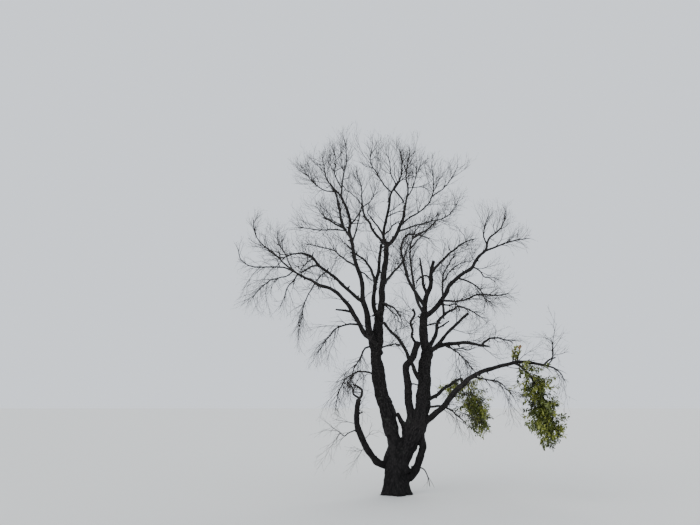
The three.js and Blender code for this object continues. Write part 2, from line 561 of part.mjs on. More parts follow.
// A leaf as a closed lens of eight faces. Its root lies past the middle of the twig that bears it.
function leafSolid(bearer, way, flat, length) {
  const root = bearer.point;
  const side = new THREE.Vector3().crossVectors(flat, way).normalize();
  const middle = root.clone().addScaledVector(way, length * LEAF_MIDDLE);
  const ridge = root.clone().addScaledVector(way, length * LEAF_RIDGE);
  const half = (length * LEAF_WIDTH) / 2;
  const thick = (length * LEAF_THICKNESS) / 2;
  const corners = [
    root.clone().addScaledVector(way, -LEAF_ROOT * bearer.radius),
    middle.clone().addScaledVector(side, half),
    root.clone().addScaledVector(way, length),
    middle.clone().addScaledVector(side, -half),
    ridge.clone().addScaledVector(flat, thick),
    ridge.clone().addScaledVector(flat, -thick),
  ];
  const positions = corners.flatMap((corner) => corner.multiplyScalar(METRE).toArray());
  const index = [0, 1, 4, 1, 2, 4, 2, 3, 4, 3, 0, 4, 1, 0, 5, 2, 1, 5, 3, 2, 5, 0, 3, 5];
  const solid = solidOf(indexed(positions, index));
  return solid.volume() > 0 ? solid : solidOf(indexed(positions, index.toReversed()));
}

// Leaves set along leaders and twigs, hanging a little, each turned on from the one before.
function leafSolids(row, bearers, limbs) {
  const random = randomFrom(seedOf(`${row.name} leaves`));
  const solids = [];
  for (const [bearer, first] of bearers) {
    const length = bearer.points.reduce((sum, p, i, all) => sum + (i ? p.distanceTo(all[i - 1]) : 0), 0);
    const count = Math.max(1, Math.floor((length * (1 - first)) / LEAF_STEP));
    for (let i = 0; i < count; i++) {
      const place = placeOn(bearer, first + ((1 - first) * (i + 0.5)) / count);
      const turn = radians(GOLDEN_ANGLE * i + LEAF_TURN_SPREAD * random());
      const side = across(place.direction).applyAxisAngle(place.direction, turn);
      const way = side.clone().addScaledVector(place.direction, LEAF_FORWARD);
      way.z -= LEAF_DROOP;
      way.normalize();
      const flat = across(way).applyAxisAngle(way, random() * Math.PI);
      const size = LEAF_LENGTH * (LEAST_LEAF + LEAF_SPREAD * random());
      const blade = [LEAF_STALK, size].map((reach) => place.point.clone().addScaledVector(way, reach));
      if (limbs.every((grown) => clearOf(blade, LEAF_CLEAR, grown))) {
        solids.push(leafSolid(place, way, flat, size));
      }
    }
  }
  return solids;
}

function meshOf(name, solid, material) {
  const { vertProperties, triVerts } = solid.getMesh();
  const geometry = indexed(Array.from(vertProperties), Array.from(triVerts));
  const mesh = new THREE.Mesh(geometry, material);
  mesh.name = name;
  return mesh;
}

// Everything that has been grown: axes by name, and for each node the solid that its neighbours are cut by,
// which is wider than the node by the gap between them.
const axes = new Map();
const placed = [];
const tree = new THREE.Group();

function addNode(name, solid, cutter, material) {
  tree.add(meshOf(name, solid, material));
  placed.push(cutter);
}

// A solid with what its neighbours already hold cut away.
function trimmed(solid) {
  let left = solid;
  for (const cutter of placed) {
    if (boxesMeet(left, cutter)) left = left.subtract(cutter);
  }
  return mainBody(left);
}

function buildTrunk() {
  const column = columnAxis();
  axes.set("column", column);
  let solid = columnSolid(column, 0);
  let cutter = columnSolid(column, CLEAR);
  for (const row of TRUNK_PARTS) {
    const grown = growLimb(row, axes.get(row.on), { collar: false });
    axes.set(row.name, grown);
    solid = solid.add(limbSolid(grown));
    cutter = cutter.add(limbSolid(grown, CLEAR));
  }
  addNode("trunk", mainBody(solid), mainBody(cutter), BARK);
}

function buildBoughs() {
  for (const row of BOUGHS) {
    const grown = growLimb(row, axes.get(row.on));
    axes.set(row.name, grown);
    addNode(row.name, trimmed(limbSolid(grown)), limbSolid(grown, CLEAR), BARK);
  }
}

function growLeaders(row) {
  const leaders = [];
  for (const leader of row.leaders) {
    const parent = leader.on === "stem" ? leaders[0] : axes.get(leader.on);
    leaders.push(growLimb(leader, parent, { kinked: false, collar: false }));
  }
  return leaders;
}

function buildMasses() {
  const limbs = [...axes.values()];
  const rows = [...MASSES, ...LEAFY_MASSES];
  const leadersOf = new Map(rows.map((row) => [row.name, growLeaders(row)]));
  const twigsOf = new Map();
  for (const row of rows) {
    const leaders = leadersOf.get(row.name);
    const neighbours = rows.filter((other) => other !== row).map((other) => other.name);
    const others = neighbours.flatMap((name) => [...leadersOf.get(name), ...(twigsOf.get(name) ?? [])]);
    const twigs = growTwigs(row, leaders, limbs, others);
    twigsOf.set(row.name, twigs);
    const parts = leaders.map((grown) => limbSolid(grown));
    for (const { points, radii, sides } of twigs) {
      parts.push(solidOf(tube(points, radii, sides, { pointed: true })));
    }
    const leafy = LEAFY_MASSES.includes(row);
    if (leafy) {
      const bearers = leaders.map((grown) => [grown, BARE_LEADER]);
      bearers.push(...twigs.map((twig) => [twig, BARE_TWIG]));
      parts.push(...leafSolids(row, bearers, [...limbs, ...others]));
    }
    const solid = trimmed(wasm.Manifold.union(parts));
    const cutter = wasm.Manifold.union(leaders.map((grown) => limbSolid(grown, CLEAR)));
    addNode(row.name, solid, cutter, leafy ? LEAF : TWIG_BARK);
  }
}

buildTrunk();
buildBoughs();
buildMasses();

export default tree;
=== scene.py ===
"""The looks of a dead field tree with several stems: furrowed bark, bare twigs and leafy low shoots.

The tree grows here by the same seeded rule as its solids, in metres. The rule is then carried on to finer
twigs and to sprays of leaves, which stay close to the solids that they stand for.
"""

import logging
import math
from dataclasses import dataclass, field, replace
from enum import Enum

import bpy
import numpy as np
from mathutils import Matrix, Vector, noise


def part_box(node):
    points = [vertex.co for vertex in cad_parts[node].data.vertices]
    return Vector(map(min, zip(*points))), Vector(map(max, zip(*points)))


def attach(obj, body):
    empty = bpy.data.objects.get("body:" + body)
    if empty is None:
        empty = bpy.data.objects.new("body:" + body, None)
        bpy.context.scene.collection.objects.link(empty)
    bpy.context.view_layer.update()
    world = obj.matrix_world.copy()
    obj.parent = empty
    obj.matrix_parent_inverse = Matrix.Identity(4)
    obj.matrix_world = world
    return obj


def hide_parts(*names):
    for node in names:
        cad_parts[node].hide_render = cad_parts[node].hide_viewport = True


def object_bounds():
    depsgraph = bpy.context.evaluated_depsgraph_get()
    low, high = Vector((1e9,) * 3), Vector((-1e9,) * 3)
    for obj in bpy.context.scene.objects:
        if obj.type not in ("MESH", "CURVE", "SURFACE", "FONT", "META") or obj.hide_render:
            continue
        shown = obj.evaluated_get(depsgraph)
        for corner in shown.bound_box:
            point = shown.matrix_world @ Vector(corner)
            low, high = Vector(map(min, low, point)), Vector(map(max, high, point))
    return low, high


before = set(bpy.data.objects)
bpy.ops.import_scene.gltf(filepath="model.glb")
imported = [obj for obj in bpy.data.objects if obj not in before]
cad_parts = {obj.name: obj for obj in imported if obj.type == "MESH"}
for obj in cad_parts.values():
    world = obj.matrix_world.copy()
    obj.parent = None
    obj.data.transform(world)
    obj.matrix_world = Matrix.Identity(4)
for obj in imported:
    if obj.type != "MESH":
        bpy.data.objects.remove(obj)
CAD_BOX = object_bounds()
log = logging.getLogger("dead_tree")

Array = np.ndarray
Material = bpy.types.Material
Object = bpy.types.Object
Socket = bpy.types.NodeSocket
Colour = tuple[float, float, float]
Place = tuple[float, float, float]
Part = tuple[Array, Array, Array]
Random = np.random.Generator

UP = np.array((0.0, 0.0, 1.0))
RIGHT = np.array((1.0, 0.0, 0.0))
NEARLY_UPRIGHT = 0.9
TRIANGLE = 3
QUAD = 4
GOLDEN_ANGLE = 137.5
WORD = 0xFFFFFFFF
TINY = 1e-12


@dataclass(frozen=True)
class Limb:
    """A tapering limb that leaves another one.

    It leaves the limb named by `on` at the share `at` of that limb's length, and has the diameters `foot`
    and `tip`. Its tip lies `away` behind its foot, and each leg is a run in the plane that faces the viewer
    and a lean off the vertical in degrees, positive towards +X.
    """

    name: str
    on: str
    at: float
    foot: float
    tip: float
    away: float
    legs: tuple[tuple[float, float], ...]


@dataclass(frozen=True)
class Mass:
    """A mass of twigs on one or more leaders, the first of which carries on from a bough.

    The rule may set `twigs` twigs on it, the longest of which is `length` long, and they turn up by `lift`,
    or down where that is below 0.
    """

    name: str
    twigs: int
    length: float
    lift: float
    leaders: tuple[Limb, ...]


def limb(name: str, on: str, at: float, foot: float, tip: float, away: float, *legs: tuple) -> Limb:
    """Return one row of the tables of limbs, with its legs after its sizes."""
    return Limb(name, on, at, foot, tip, away, legs)


def mass(name: str, twigs: int, length: float, lift: float, *leaders: Limb) -> Mass:
    """Return one row of the tables of masses, with its leaders after its sizes."""
    return Mass(name, twigs, length, lift, leaders)


# The parts of the trunk above its column: the feet of two stems, a strut that grew from the flare into the
# right stem, and the snag of a lost shoot between the stems, which is fork_snag in the dressed tree.
TRUNK_PARTS = [
    limb("left_foot", "column", 0.68, 0.6, 0.5, 0, (0.58, -9), (0.59, -8)),
    limb("right_foot", "column", 0.68, 0.56, 0.5, 0, (0.5, 30), (0.43, 34), (0.52, 27)),
    limb("strut", "column", 0.27, 0.26, 0.2, -0.03,
        (0.6, 61), (0.31, 31), (0.29, 21), (0.28, 14), (0.33, -8)),
    limb("snag", "right_foot", 0.7, 0.1, 0.05, -0.1, (0.34, -38), (0.3, -26)),
]

BOUGHS = [
    limb("left_stem", "left_foot", 1, 0.5, 0.3, 0.2,
        (0.56, -10), (1.3, -12), (0.65, -4), (0.5, 9), (0.57, 2)),
    limb("middle_stem", "right_foot", 0.52, 0.22, 0.15, -0.2,
        (0.87, 5), (0.85, -5), (0.73, -2), (0.31, 36), (0.52, 21)),
    limb("right_stem", "right_foot", 1, 0.5, 0.36, 0.1, (0.76, 13), (0.63, 5), (0.91, 8)),
    limb("right_upper_stem", "right_stem", 1, 0.31, 0.24, 0.1, (0.42, -12), (0.34, -6), (0.54, 7)),
    limb("left_outer_limb", "left_stem", 0.69, 0.26, 0.15, -0.7, (0.38, -24), (0.29, -17), (0.98, -13)),
    limb("left_long_limb", "left_outer_limb", 0.28, 0.16, 0.08, 1.3,
        (0.22, -60), (0.43, -27), (0.7, -29), (0.62, -38), (0.64, -63), (1.01, -60)),
    limb("left_upper_limb", "left_outer_limb", 0.97, 0.11, 0.06, -2.2,
        (0.2, -66), (0.84, -55), (0.5, -62), (0.35, -45), (0.28, -83)),
    limb("left_rising_limb", "left_outer_limb", 1, 0.145, 0.07, -0.3,
        (0.68, -4), (1.35, -14), (0.34, -11), (0.24, 12), (0.38, -15), (0.55, -23)),
    limb("centre_left_limb", "left_stem", 0.98, 0.16, 0.07, -2.0,
        (0.43, -23), (0.43, -2), (0.56, 10), (0.73, 7)),
    limb("centre_limb", "left_stem", 1, 0.22, 0.16, 0.4, (0.53, 13), (0.74, 2), (0.99, 8), (0.41, 4)),
    limb("crossing_limb", "centre_limb", 0.98, 0.1, 0.065, 1.8,
        (0.41, -33), (0.52, -26), (0.67, -21), (0.45, -13)),
    limb("crown_limb", "centre_limb", 1, 0.1, 0.07, -1.8, (0.25, -31), (0.27, 8), (0.4, 13), (0.29, 5)),
    limb("crown_right_limb", "centre_limb", 0.97, 0.14, 0.085, 0.5,
        (0.29, 44), (0.43, 32), (0.48, 20), (0.65, 12)),
    limb("cross_limb", "right_stem", 0.53, 0.13, 0.075, -1.7,
        (0.4, -38), (0.52, -29), (0.79, -32), (0.61, -48)),
    limb("sinuous_limb", "middle_stem", 0.98, 0.085, 0.06, -0.3,
        (0.33, -30), (0.19, 10), (0.23, -17), (0.31, 24), (0.17, -23)),
    limb("right_blunt_limb", "right_upper_stem", 1, 0.18, 0.1, -0.8, (0.53, 3), (0.4, 22), (0.74, 6)),
    limb("right_long_limb", "right_upper_stem", 0.93, 0.17, 0.085, 1.1,
        (0.44, 54), (0.44, 38), (0.64, 30), (1.13, 53), (0.56, 33), (0.39, 47)),
    limb("right_inner_limb", "right_stem", 0.98, 0.15, 0.06, 1.6,
        (0.57, 28), (0.63, 20), (0.58, 41), (0.59, 58)),
    limb("right_level_limb", "right_stem", 0.96, 0.16, 0.07, -1.1,
        (0.32, 46), (0.34, 72), (0.58, 86), (0.46, 107)),
    limb("broken_limb", "right_level_limb", 0.22, 0.1, 0.07, -1.5, (0.4, 34), (0.35, 40), (0.46, 48)),
    limb("right_middle_limb", "right_stem", 0.24, 0.12, 0.07, 1.5, (0.68, 56), (0.51, 54), (0.64, 64)),
    limb("right_low_bough", "right_foot", 0.95, 0.2, 0.14, -0.8,
        (0.68, 52), (0.35, 51), (0.71, 39), (0.38, 44)),
    limb("right_low_reach", "right_low_bough", 1, 0.14, 0.07, -0.7,
        (0.24, 60), (0.48, 68), (0.54, 75), (0.56, 86), (0.47, 102)),
    limb("left_low_bough", "column", 0.56, 0.21, 0.13, -0.65,
        (0.7, -64), (0.53, -36), (0.53, -24), (0.41, -13), (0.55, 6)),
]

# Each mass of twigs has a first leader, called stem, that carries on from a bough, and may have more that
# fork from it. `twigs` is how many the rule may set on them, `length` how long the longest is, and `lift`
# how far they turn up (or down, below 0). Leaders are limbs that share the mass's node.

MASSES = [
    mass("left_end_twigs", 8, 0.85, 0.35,
        limb("stem", "left_long_limb", 1, 0.075, 0.024, 0.5,
            (0.57, -52), (0.66, -44), (0.59, -52), (0.53, -33), (0.6, -8)),
        limb("inner", "stem", 0.1, 0.05, 0.02, 1.4, (0.8, -24), (0.66, -29), (0.5, -6))),
    mass("left_end_low_twigs", 8, 0.75, -0.3,
        limb("stem", "left_long_limb", 0.98, 0.07, 0.024, -1.2,
            (0.48, -66), (0.37, -90), (0.83, -94), (0.4, -54), (0.36, -8)),
        limb("drooping", "stem", 0.1, 0.05, 0.02, -1.6,
            (0.28, -139), (0.55, -117), (0.53, -142), (0.41, -153))),
    mass("left_hanging_twigs", 6, 0.5, -0.5,
        limb("stem", "left_long_limb", 0.8, 0.05, 0.02, -0.7,
            (0.43, -153), (0.44, -159), (0.59, -173), (0.47, -166))),
    mass("left_side_twigs", 7, 0.55, -0.45,
        limb("stem", "left_long_limb", 0.17, 0.07, 0.024, -1.5,
            (0.36, -95), (0.43, -115), (0.4, -142), (0.7, -150))),
    mass("left_upper_end_twigs", 7, 0.7, 0.15,
        limb("stem", "left_upper_limb", 1, 0.056, 0.022, -0.6, (0.3, -106), (0.3, -119), (0.4, -63))),
    mass("left_inner_twigs", 7, 0.6, 0.25,
        limb("stem", "left_rising_limb", 0.32, 0.07, 0.024, 3.1,
            (0.57, -46), (0.61, -36), (0.46, -57), (0.78, -58))),
    mass("left_fork_twigs", 10, 0.7, 0.35,
        limb("stem", "left_rising_limb", 0.6, 0.075, 0.024, 2.1,
            (0.37, -27), (0.49, -13), (0.5, -11), (0.6, -6)),
        limb("level", "stem", 0.16, 0.055, 0.02, -1.8, (0.31, -98), (0.55, -112), (0.33, -99), (0.37, -102)),
        limb("slanting", "stem", 0.3, 0.045, 0.02, 1.5, (0.47, -50), (0.57, -47), (0.6, -26))),
    mass("left_top_twigs", 11, 0.7, 0.5,
        limb("stem", "left_rising_limb", 1, 0.068, 0.02, 0.4, (0.49, 3), (0.83, 10), (0.9, -4)),
        limb("second", "stem", 0.13, 0.05, 0.02, 1.3, (0.73, -20), (0.7, 3), (0.65, -14))),
    mass("left_top_outer_twigs", 11, 0.85, 0.5,
        limb("stem", "left_rising_limb", 0.985, 0.066, 0.02, 2.2,
            (0.6, -30), (0.48, -28), (0.53, -12), (1.1, -8)),
        limb("outer", "stem", 0.12, 0.05, 0.02, 2.8, (0.51, -60), (0.82, -37), (0.88, -25), (0.4, -24))),
    mass("crossing_twigs", 11, 0.8, 0.5,
        limb("stem", "crossing_limb", 1, 0.062, 0.02, 0.5, (0.6, -3), (0.46, -2), (0.49, -18), (0.5, -6)),
        limb("left", "stem", 0.1, 0.045, 0.02, 0.9, (0.59, -32), (0.48, -41), (0.5, -30)),
        limb("right", "stem", 0.06, 0.05, 0.02, 1.1, (0.44, 44), (0.48, 21), (0.7, 12))),
    mass("crown_twigs", 11, 0.7, 0.5,
        limb("stem", "crown_limb", 1, 0.066, 0.02, -1.1, (0.28, 31), (0.27, 38), (0.35, 4), (0.4, -14)),
        limb("left", "stem", 0.08, 0.055, 0.02, -1.6, (0.25, -72), (0.4, -47), (0.3, -45), (0.3, 12)),
        limb("middle", "stem", 0.25, 0.045, 0.02, -0.2, (0.34, -26), (0.4, -8), (0.35, -18))),
    mass("crown_right_twigs", 11, 0.85, 0.55,
        limb("stem", "crown_right_limb", 1, 0.08, 0.02, 0.8, (0.67, 12), (0.63, -4), (0.9, 10), (0.5, 6)),
        limb("right", "stem", 0.1, 0.055, 0.02, 1.6, (0.73, 25), (0.82, 17), (0.8, 27))),
    mass("crown_side_twigs", 8, 0.7, 0.4,
        limb("stem", "crown_right_limb", 0.56, 0.07, 0.022, -2.2,
            (0.29, 63), (0.55, 67), (0.4, 34), (0.8, -10)),
        limb("outer", "stem", 0.58, 0.045, 0.02, -0.9, (0.4, 66), (0.4, 40), (0.35, 26))),
    mass("crown_reach_twigs", 8, 0.75, 0.4,
        limb("stem", "crown_right_limb", 0.38, 0.07, 0.022, 2.5,
            (0.51, 57), (0.86, 64), (1.01, 61), (1.15, 33))),
    mass("arching_twigs", 6, 0.55, 0.2,
        limb("stem", "centre_left_limb", 0.5, 0.08, 0.024, -2.0,
            (0.34, -25), (0.36, -44), (0.25, -73), (0.45, -60))),
    mass("centre_hanging_twigs", 4, 0.45, -0.4,
        limb("stem", "centre_limb", 0.2, 0.07, 0.024, -1.3, (0.33, 125), (0.35, 147), (0.32, 164))),
    mass("centre_side_twigs", 7, 0.6, 0.35,
        limb("stem", "centre_limb", 0.4, 0.09, 0.024, 2.5,
            (0.4, 30), (0.55, 36), (0.47, 38), (0.73, 21), (0.55, 22))),
    mass("right_front_twigs", 7, 0.6, 0.2,
        limb("stem", "right_blunt_limb", 0.16, 0.1, 0.024, -3.1,
            (0.5, -45), (0.41, -40), (0.48, -23), (0.41, -18), (0.33, 25), (0.34, 107), (0.37, 125))),
    mass("right_back_twigs", 8, 0.65, 0.35,
        limb("stem", "right_upper_stem", 0.98, 0.09, 0.024, 2.6,
            (0.76, -16), (0.99, -3), (1.02, 1), (0.9, 19), (0.5, 38)),
        limb("right", "stem", 0.65, 0.045, 0.02, 0.4, (0.59, 38), (0.48, 43), (0.5, 48))),
    mass("right_arm_twigs", 6, 0.6, 0.25,
        limb("stem", "right_blunt_limb", 0.78, 0.085, 0.026, -2.5,
            (0.3, 47), (0.41, 53), (0.17, 66), (0.3, 90))),
    mass("right_end_rising_twigs", 8, 0.7, 0.5,
        limb("stem", "right_long_limb", 1, 0.08, 0.022, 0.8, (0.45, 18), (0.39, 45), (0.46, 45), (0.6, 28)),
        limb("inner", "stem", 0.14, 0.05, 0.02, -0.9, (0.3, -37), (0.3, 1), (0.4, 15))),
    mass("right_end_twigs", 7, 0.65, 0.1,
        limb("stem", "right_long_limb", 0.985, 0.07, 0.022, -0.7, (0.58, 72), (0.4, 78), (0.5, 86))),
    mass("right_side_twigs", 7, 0.55, -0.15,
        limb("stem", "right_long_limb", 0.25, 0.07, 0.024, -3.1,
            (0.3, 118), (0.3, 99), (0.3, 76), (0.47, 112), (0.25, 91))),
    mass("right_tall_twigs", 8, 0.7, 0.4,
        limb("stem", "right_inner_limb", 0.7, 0.075, 0.024, 2.3,
            (0.59, 5), (1.12, 9), (0.96, 31), (0.4, 36)),
        limb("right", "stem", 0.44, 0.05, 0.02, 0.4, (0.83, 36), (0.7, 65))),
    mass("right_inner_twigs", 6, 0.5, -0.1,
        limb("stem", "right_inner_limb", 1, 0.056, 0.022, 0.9, (0.53, 100), (0.58, 114))),
    mass("right_level_twigs", 6, 0.5, -0.25,
        limb("stem", "right_level_limb", 1, 0.066, 0.024, -1.2, (0.25, 44), (0.33, 100), (0.25, 132))),
    mass("right_low_hanging_twigs", 5, 0.5, -0.4,
        limb("stem", "right_level_limb", 0.36, 0.065, 0.024, -2.0, (0.45, 135), (0.62, 160))),
    mass("low_reach_end_twigs", 7, 0.5, -0.05,
        limb("stem", "right_low_reach", 1, 0.066, 0.02, -0.4, (0.19, 110), (0.23, 137), (0.3, 160)),
        limb("rising", "stem", 0.08, 0.045, 0.02, -1.0, (0.22, 20), (0.31, -15), (0.3, -35))),
    mass("low_reach_inner_twigs", 5, 0.45, -0.3,
        limb("stem", "right_low_reach", 0.06, 0.065, 0.022, -1.4, (0.32, 108), (0.3, 101), (0.5, 150))),
    mass("left_low_end_twigs", 6, 0.4, -0.2,
        limb("stem", "left_low_bough", 1, 0.1, 0.05, -0.6, (0.24, 30), (0.16, -23), (0.26, -68)),
        limb("outer", "stem", 0.1, 0.075, 0.035, 0.6, (0.22, -57), (0.19, -10), (0.3, -41))),
    mass("left_drooping_twigs", 7, 0.6, -0.5,
        limb("stem", "left_stem", 0.45, 0.07, 0.024, 1.8,
            (0.38, -61), (0.39, -88), (0.48, -122), (0.45, -152), (0.65, -170))),
    mass("left_inner_drooping_twigs", 7, 0.5, -0.5,
        limb("stem", "left_outer_limb", 0.12, 0.07, 0.024, -2.0,
            (0.28, -111), (0.44, -150), (0.43, -152), (0.53, -165))),
]

# Leafy masses follow the same rule and then bear leaves on their leaders and twigs.
LEAFY_MASSES = [
    mass("middle_leaves", 10, 0.62, -0.15,
        limb("stem", "right_middle_limb", 1, 0.066, 0.024, 0.4,
            (0.37, 138), (0.5, 154), (0.55, 166), (0.5, 172))),
    mass("hanging_leaves", 14, 0.75, -0.35,
        limb("stem", "right_low_reach", 0.62, 0.08, 0.024, -0.4,
            (0.3, 122), (0.45, 144), (0.65, 156), (0.55, -179), (0.55, -173))),
    mass("upright_leaves", 4, 0.3, 0.3,
        limb("stem", "right_low_reach", 0.6, 0.05, 0.02, 0.15, (0.25, 16), (0.22, 21), (0.16, 27))),
]


# Short blunt limbs and stubs of broken limbs, fused into the wood that bears them.
SNAGS = [
    limb("blunt_snag", "right_blunt_limb", 0.39, 0.1, 0.05, 0.3,
        (0.33, -18), (0.32, -6), (0.4, -2), (0.26, -5)),
    limb("outer_stub", "left_long_limb", 0.31, 0.08, 0.045, -0.4, (0.24, -84), (0.3, -90)),
    limb("level_stub", "right_level_limb", 1, 0.07, 0.03, -0.1, (0.13, 97), (0.12, 108)),
    limb("short_arm", "right_inner_limb", 0.44, 0.06, 0.04, -0.5, (0.16, 72), (0.23, 56)),
    limb("fork_snag", "right_foot", 0.77, 0.2, 0.11, -0.15, (0.54, -45), (0.3, -29)),
    limb("reach_stub", "right_low_reach", 0.98, 0.05, 0.035, 0.3, (0.27, 54), (0.27, 71)),
]

# Thin limbs between the boughs, which bear fine shoots. Each leaves a bough, the first leader of a mass, or
# another branch.
BRANCHES = [
    limb("crown_stub", "left_fork_twigs", 0.23, 0.08, 0.04, -0.4, (0.25, -71), (0.29, -67), (0.27, -73)),
    limb("link_branch", "middle_stem", 0.55, 0.05, 0.03, 0.2, (0.2, 65), (0.17, 100)),
    limb("arching_branch", "left_stem", 0.69, 0.05, 0.03, -0.3,
        (0.28, 60), (0.19, 82), (0.16, 75), (0.2, 111)),
    limb("low_fork", "right_stem", 0.22, 0.09, 0.04, -0.5,
        (0.39, 80), (0.27, 87), (0.16, 113), (0.23, 132), (0.37, 131)),
    limb("root_shoot", "strut", 0.46, 0.05, 0.02, -0.3, (0.23, 107), (0.25, 155), (0.28, 172)),
    limb("outer_droop", "right_long_limb", 0.75, 0.05, 0.02, 0.4,
        (0.25, 107), (0.3, 140), (0.19, 97), (0.3, 115)),
    limb("inner_droop", "right_long_limb", 0.54, 0.06, 0.022, -0.5,
        (0.49, 114), (0.3, 135), (0.37, 154), (0.34, 164)),
    limb("under_arc", "left_upper_limb", 0.74, 0.07, 0.05, 1.3, (0.31, -76), (0.18, -98), (0.19, -95)),
    limb("inner_arc", "left_upper_limb", 0.84, 0.045, 0.03, 1.3, (0.22, -86), (0.16, -107), (0.14, -117)),
    limb("steep_link", "left_upper_limb", 0.62, 0.045, 0.035, 1.5, (0.2, -82), (0.21, -97)),
    limb("hub_droop", "left_end_twigs", 0.0, 0.06, 0.02, -0.3, (0.3, -157), (0.32, -175)),
    limb("long_droop", "hub_droop", 0.4, 0.05, 0.015, 0.3, (0.4, -136), (0.36, -163), (0.42, -155)),
    limb("crown_link", "crown_twigs", 0.15, 0.06, 0.05, 0.3, (0.29, 130), (0.23, 143)),
    limb("crown_arc", "crown_limb", 0.22, 0.06, 0.04, 0.5, (0.32, 47), (0.25, 28), (0.3, 49)),
    limb("crown_side_link", "crown_limb", 0.58, 0.045, 0.03, 0.4, (0.34, 51), (0.29, 62)),
    limb("back_riser", "right_back_twigs", 0.78, 0.06, 0.03, -0.3, (0.46, 61), (0.28, 52), (0.35, 47)),
    limb("crown_twin", "crown_link", 0.06, 0.05, 0.03, -0.5, (0.22, 43), (0.21, 60)),
    limb("arm_link", "crown_right_twigs", 0.28, 0.035, 0.02, -0.3, (0.54, 94), (0.3, 128)),
    limb("low_left_fork", "left_low_bough", 0.68, 0.05, 0.02, -0.4,
        (0.33, -113), (0.17, -119), (0.15, -53), (0.23, -149)),
    limb("rising_fork", "left_rising_limb", 0.72, 0.06, 0.035, 0.5, (0.27, 36), (0.35, 29), (0.26, 8)),
    limb("second_riser", "left_fork_twigs", 0.17, 0.08, 0.06, -0.5,
        (0.18, -34), (0.33, -17), (0.35, -8), (0.36, -13), (0.44, -32)),
    limb("third_riser", "left_rising_limb", 0.54, 0.06, 0.03, -0.4,
        (0.51, 20), (0.46, 12), (0.36, 11)),
    limb("twin_crossing", "crown_limb", 0.2, 0.08, 0.025, 0.7,
        (0.42, -26), (0.24, -34), (0.49, -25), (0.3, 17)),
    limb("hanging_branch", "centre_hanging_twigs", 0.04, 0.045, 0.02, -0.3,
        (0.28, 140), (0.36, 135), (0.22, 165)),
    limb("inner_link", "left_rising_limb", 0.28, 0.05, 0.035, 0.3, (0.29, 117), (0.26, 130)),
    limb("side_link", "right_blunt_limb", 0.68, 0.05, 0.035, 0.2,
        (0.18, -54), (0.13, -101), (0.16, -125), (0.14, -153)),
    limb("level_link", "right_long_limb", 0.2, 0.05, 0.03, -0.2, (0.32, 99), (0.29, 89), (0.27, 163)),
    limb("small_link", "right_upper_stem", 0.68, 0.05, 0.035, 0.2, (0.3, 70), (0.19, 76)),
    limb("under_level", "right_level_limb", 0.42, 0.05, 0.02, -0.4,
        (0.23, 133), (0.27, 85), (0.19, 112), (0.22, 67)),
    limb("thin_level", "rising_fork", 0.02, 0.04, 0.02, 0.4, (0.33, 74), (0.28, 78)),
    limb("first_crown_side", "third_riser", 0.55, 0.035, 0.015, 0.4, (0.31, -65), (0.31, -49)),
]


class SeededRandom:
    """Seeded random numbers from 0 to 1, the same on every run."""

    FIRST_STATE = 7
    LETTER_FACTOR = 31
    STEP = 0x6D2B79F5
    MIX = 61
    SHIFTS = (15, 7, 14)

    def __init__(self, name: str) -> None:
        """Start the numbers of one name.

        Args:
            name: the name of what they are for.
        """
        self.state = self.FIRST_STATE
        for letter in name:
            self.state = (self.state * self.LETTER_FACTOR + ord(letter)) & WORD

    def __call__(self) -> float:
        """Draw the next number.

        Returns:
            The number, from 0 to 1.
        """
        first, second, last = self.SHIFTS
        self.state = (self.state + self.STEP) & WORD
        mixed = self.state
        mixed = ((mixed ^ (mixed >> first)) * (mixed | 1)) & WORD
        mixed ^= (mixed + (mixed ^ (mixed >> second)) * (mixed | self.MIX)) & WORD
        return (mixed ^ (mixed >> last)) / (WORD + 1)


def unit(vectors: Array) -> Array:
    """Return one or more vectors at length one."""
    return vectors / np.linalg.norm(vectors, axis=-1, keepdims=True)


def across(ways: Array) -> Array:
    """Return for one or more directions a unit vector square to it."""
    helpers = np.where(np.abs(ways[..., 2:]) < NEARLY_UPRIGHT, UP, RIGHT)
    return unit(np.cross(ways, helpers))


def turned(vector: Array, axis: Array, angle: float) -> Array:
    """Return a vector turned round a unit axis by an angle in radians."""
    cosine, sine = math.cos(angle), math.sin(angle)
    return vector * cosine + np.cross(axis, vector) * sine + axis * (axis @ vector) * (1 - cosine)


def shares_along(points: Array) -> Array:
    """Return how far along its length each point of a run lies, from 0 to 1."""
    lengths = np.concatenate(([0.0], np.cumsum(np.linalg.norm(np.diff(points, axis=0), axis=1))))
    return lengths / lengths[-1]


@dataclass
class Line:
    """The axis of a limb or twig: points, the radius and share of the length at each, and what bears it."""

    points: Array
    radii: Array
    shares: Array
    on: "Line | None" = None
    at: float = 0.0

    def place(self, share: float) -> tuple[Array, Array, float]:
        """Find a place on the line.

        Args:
            share: the share of the length.

        Returns:
            The point, the direction and the radius there.
        """
        i = 1
        while i < len(self.shares) - 1 and self.shares[i] < share:
            i += 1
        part = (share - self.shares[i - 1]) / (self.shares[i] - self.shares[i - 1])
        step = self.points[i] - self.points[i - 1]
        radius = self.radii[i - 1] + (self.radii[i] - self.radii[i - 1]) * part
        return self.points[i - 1] + step * part, unit(step), radius

    def length(self) -> float:
        """Return the length in metres."""
        return float(np.linalg.norm(np.diff(self.points, axis=0), axis=1).sum())

    def frames(self) -> Array:
        """Find two directions across the line at each point, which turn as little as they can.

        Returns:
            An array of 3 directions for each point, of which the last is the line's own.
        """
        ways = unit(np.gradient(self.points, axis=0))
        side = across(ways[0])
        frames = []
        for way in ways:
            side = unit(side - way * (side @ way))
            frames.append((side, np.cross(way, side), way))
        return np.array(frames)


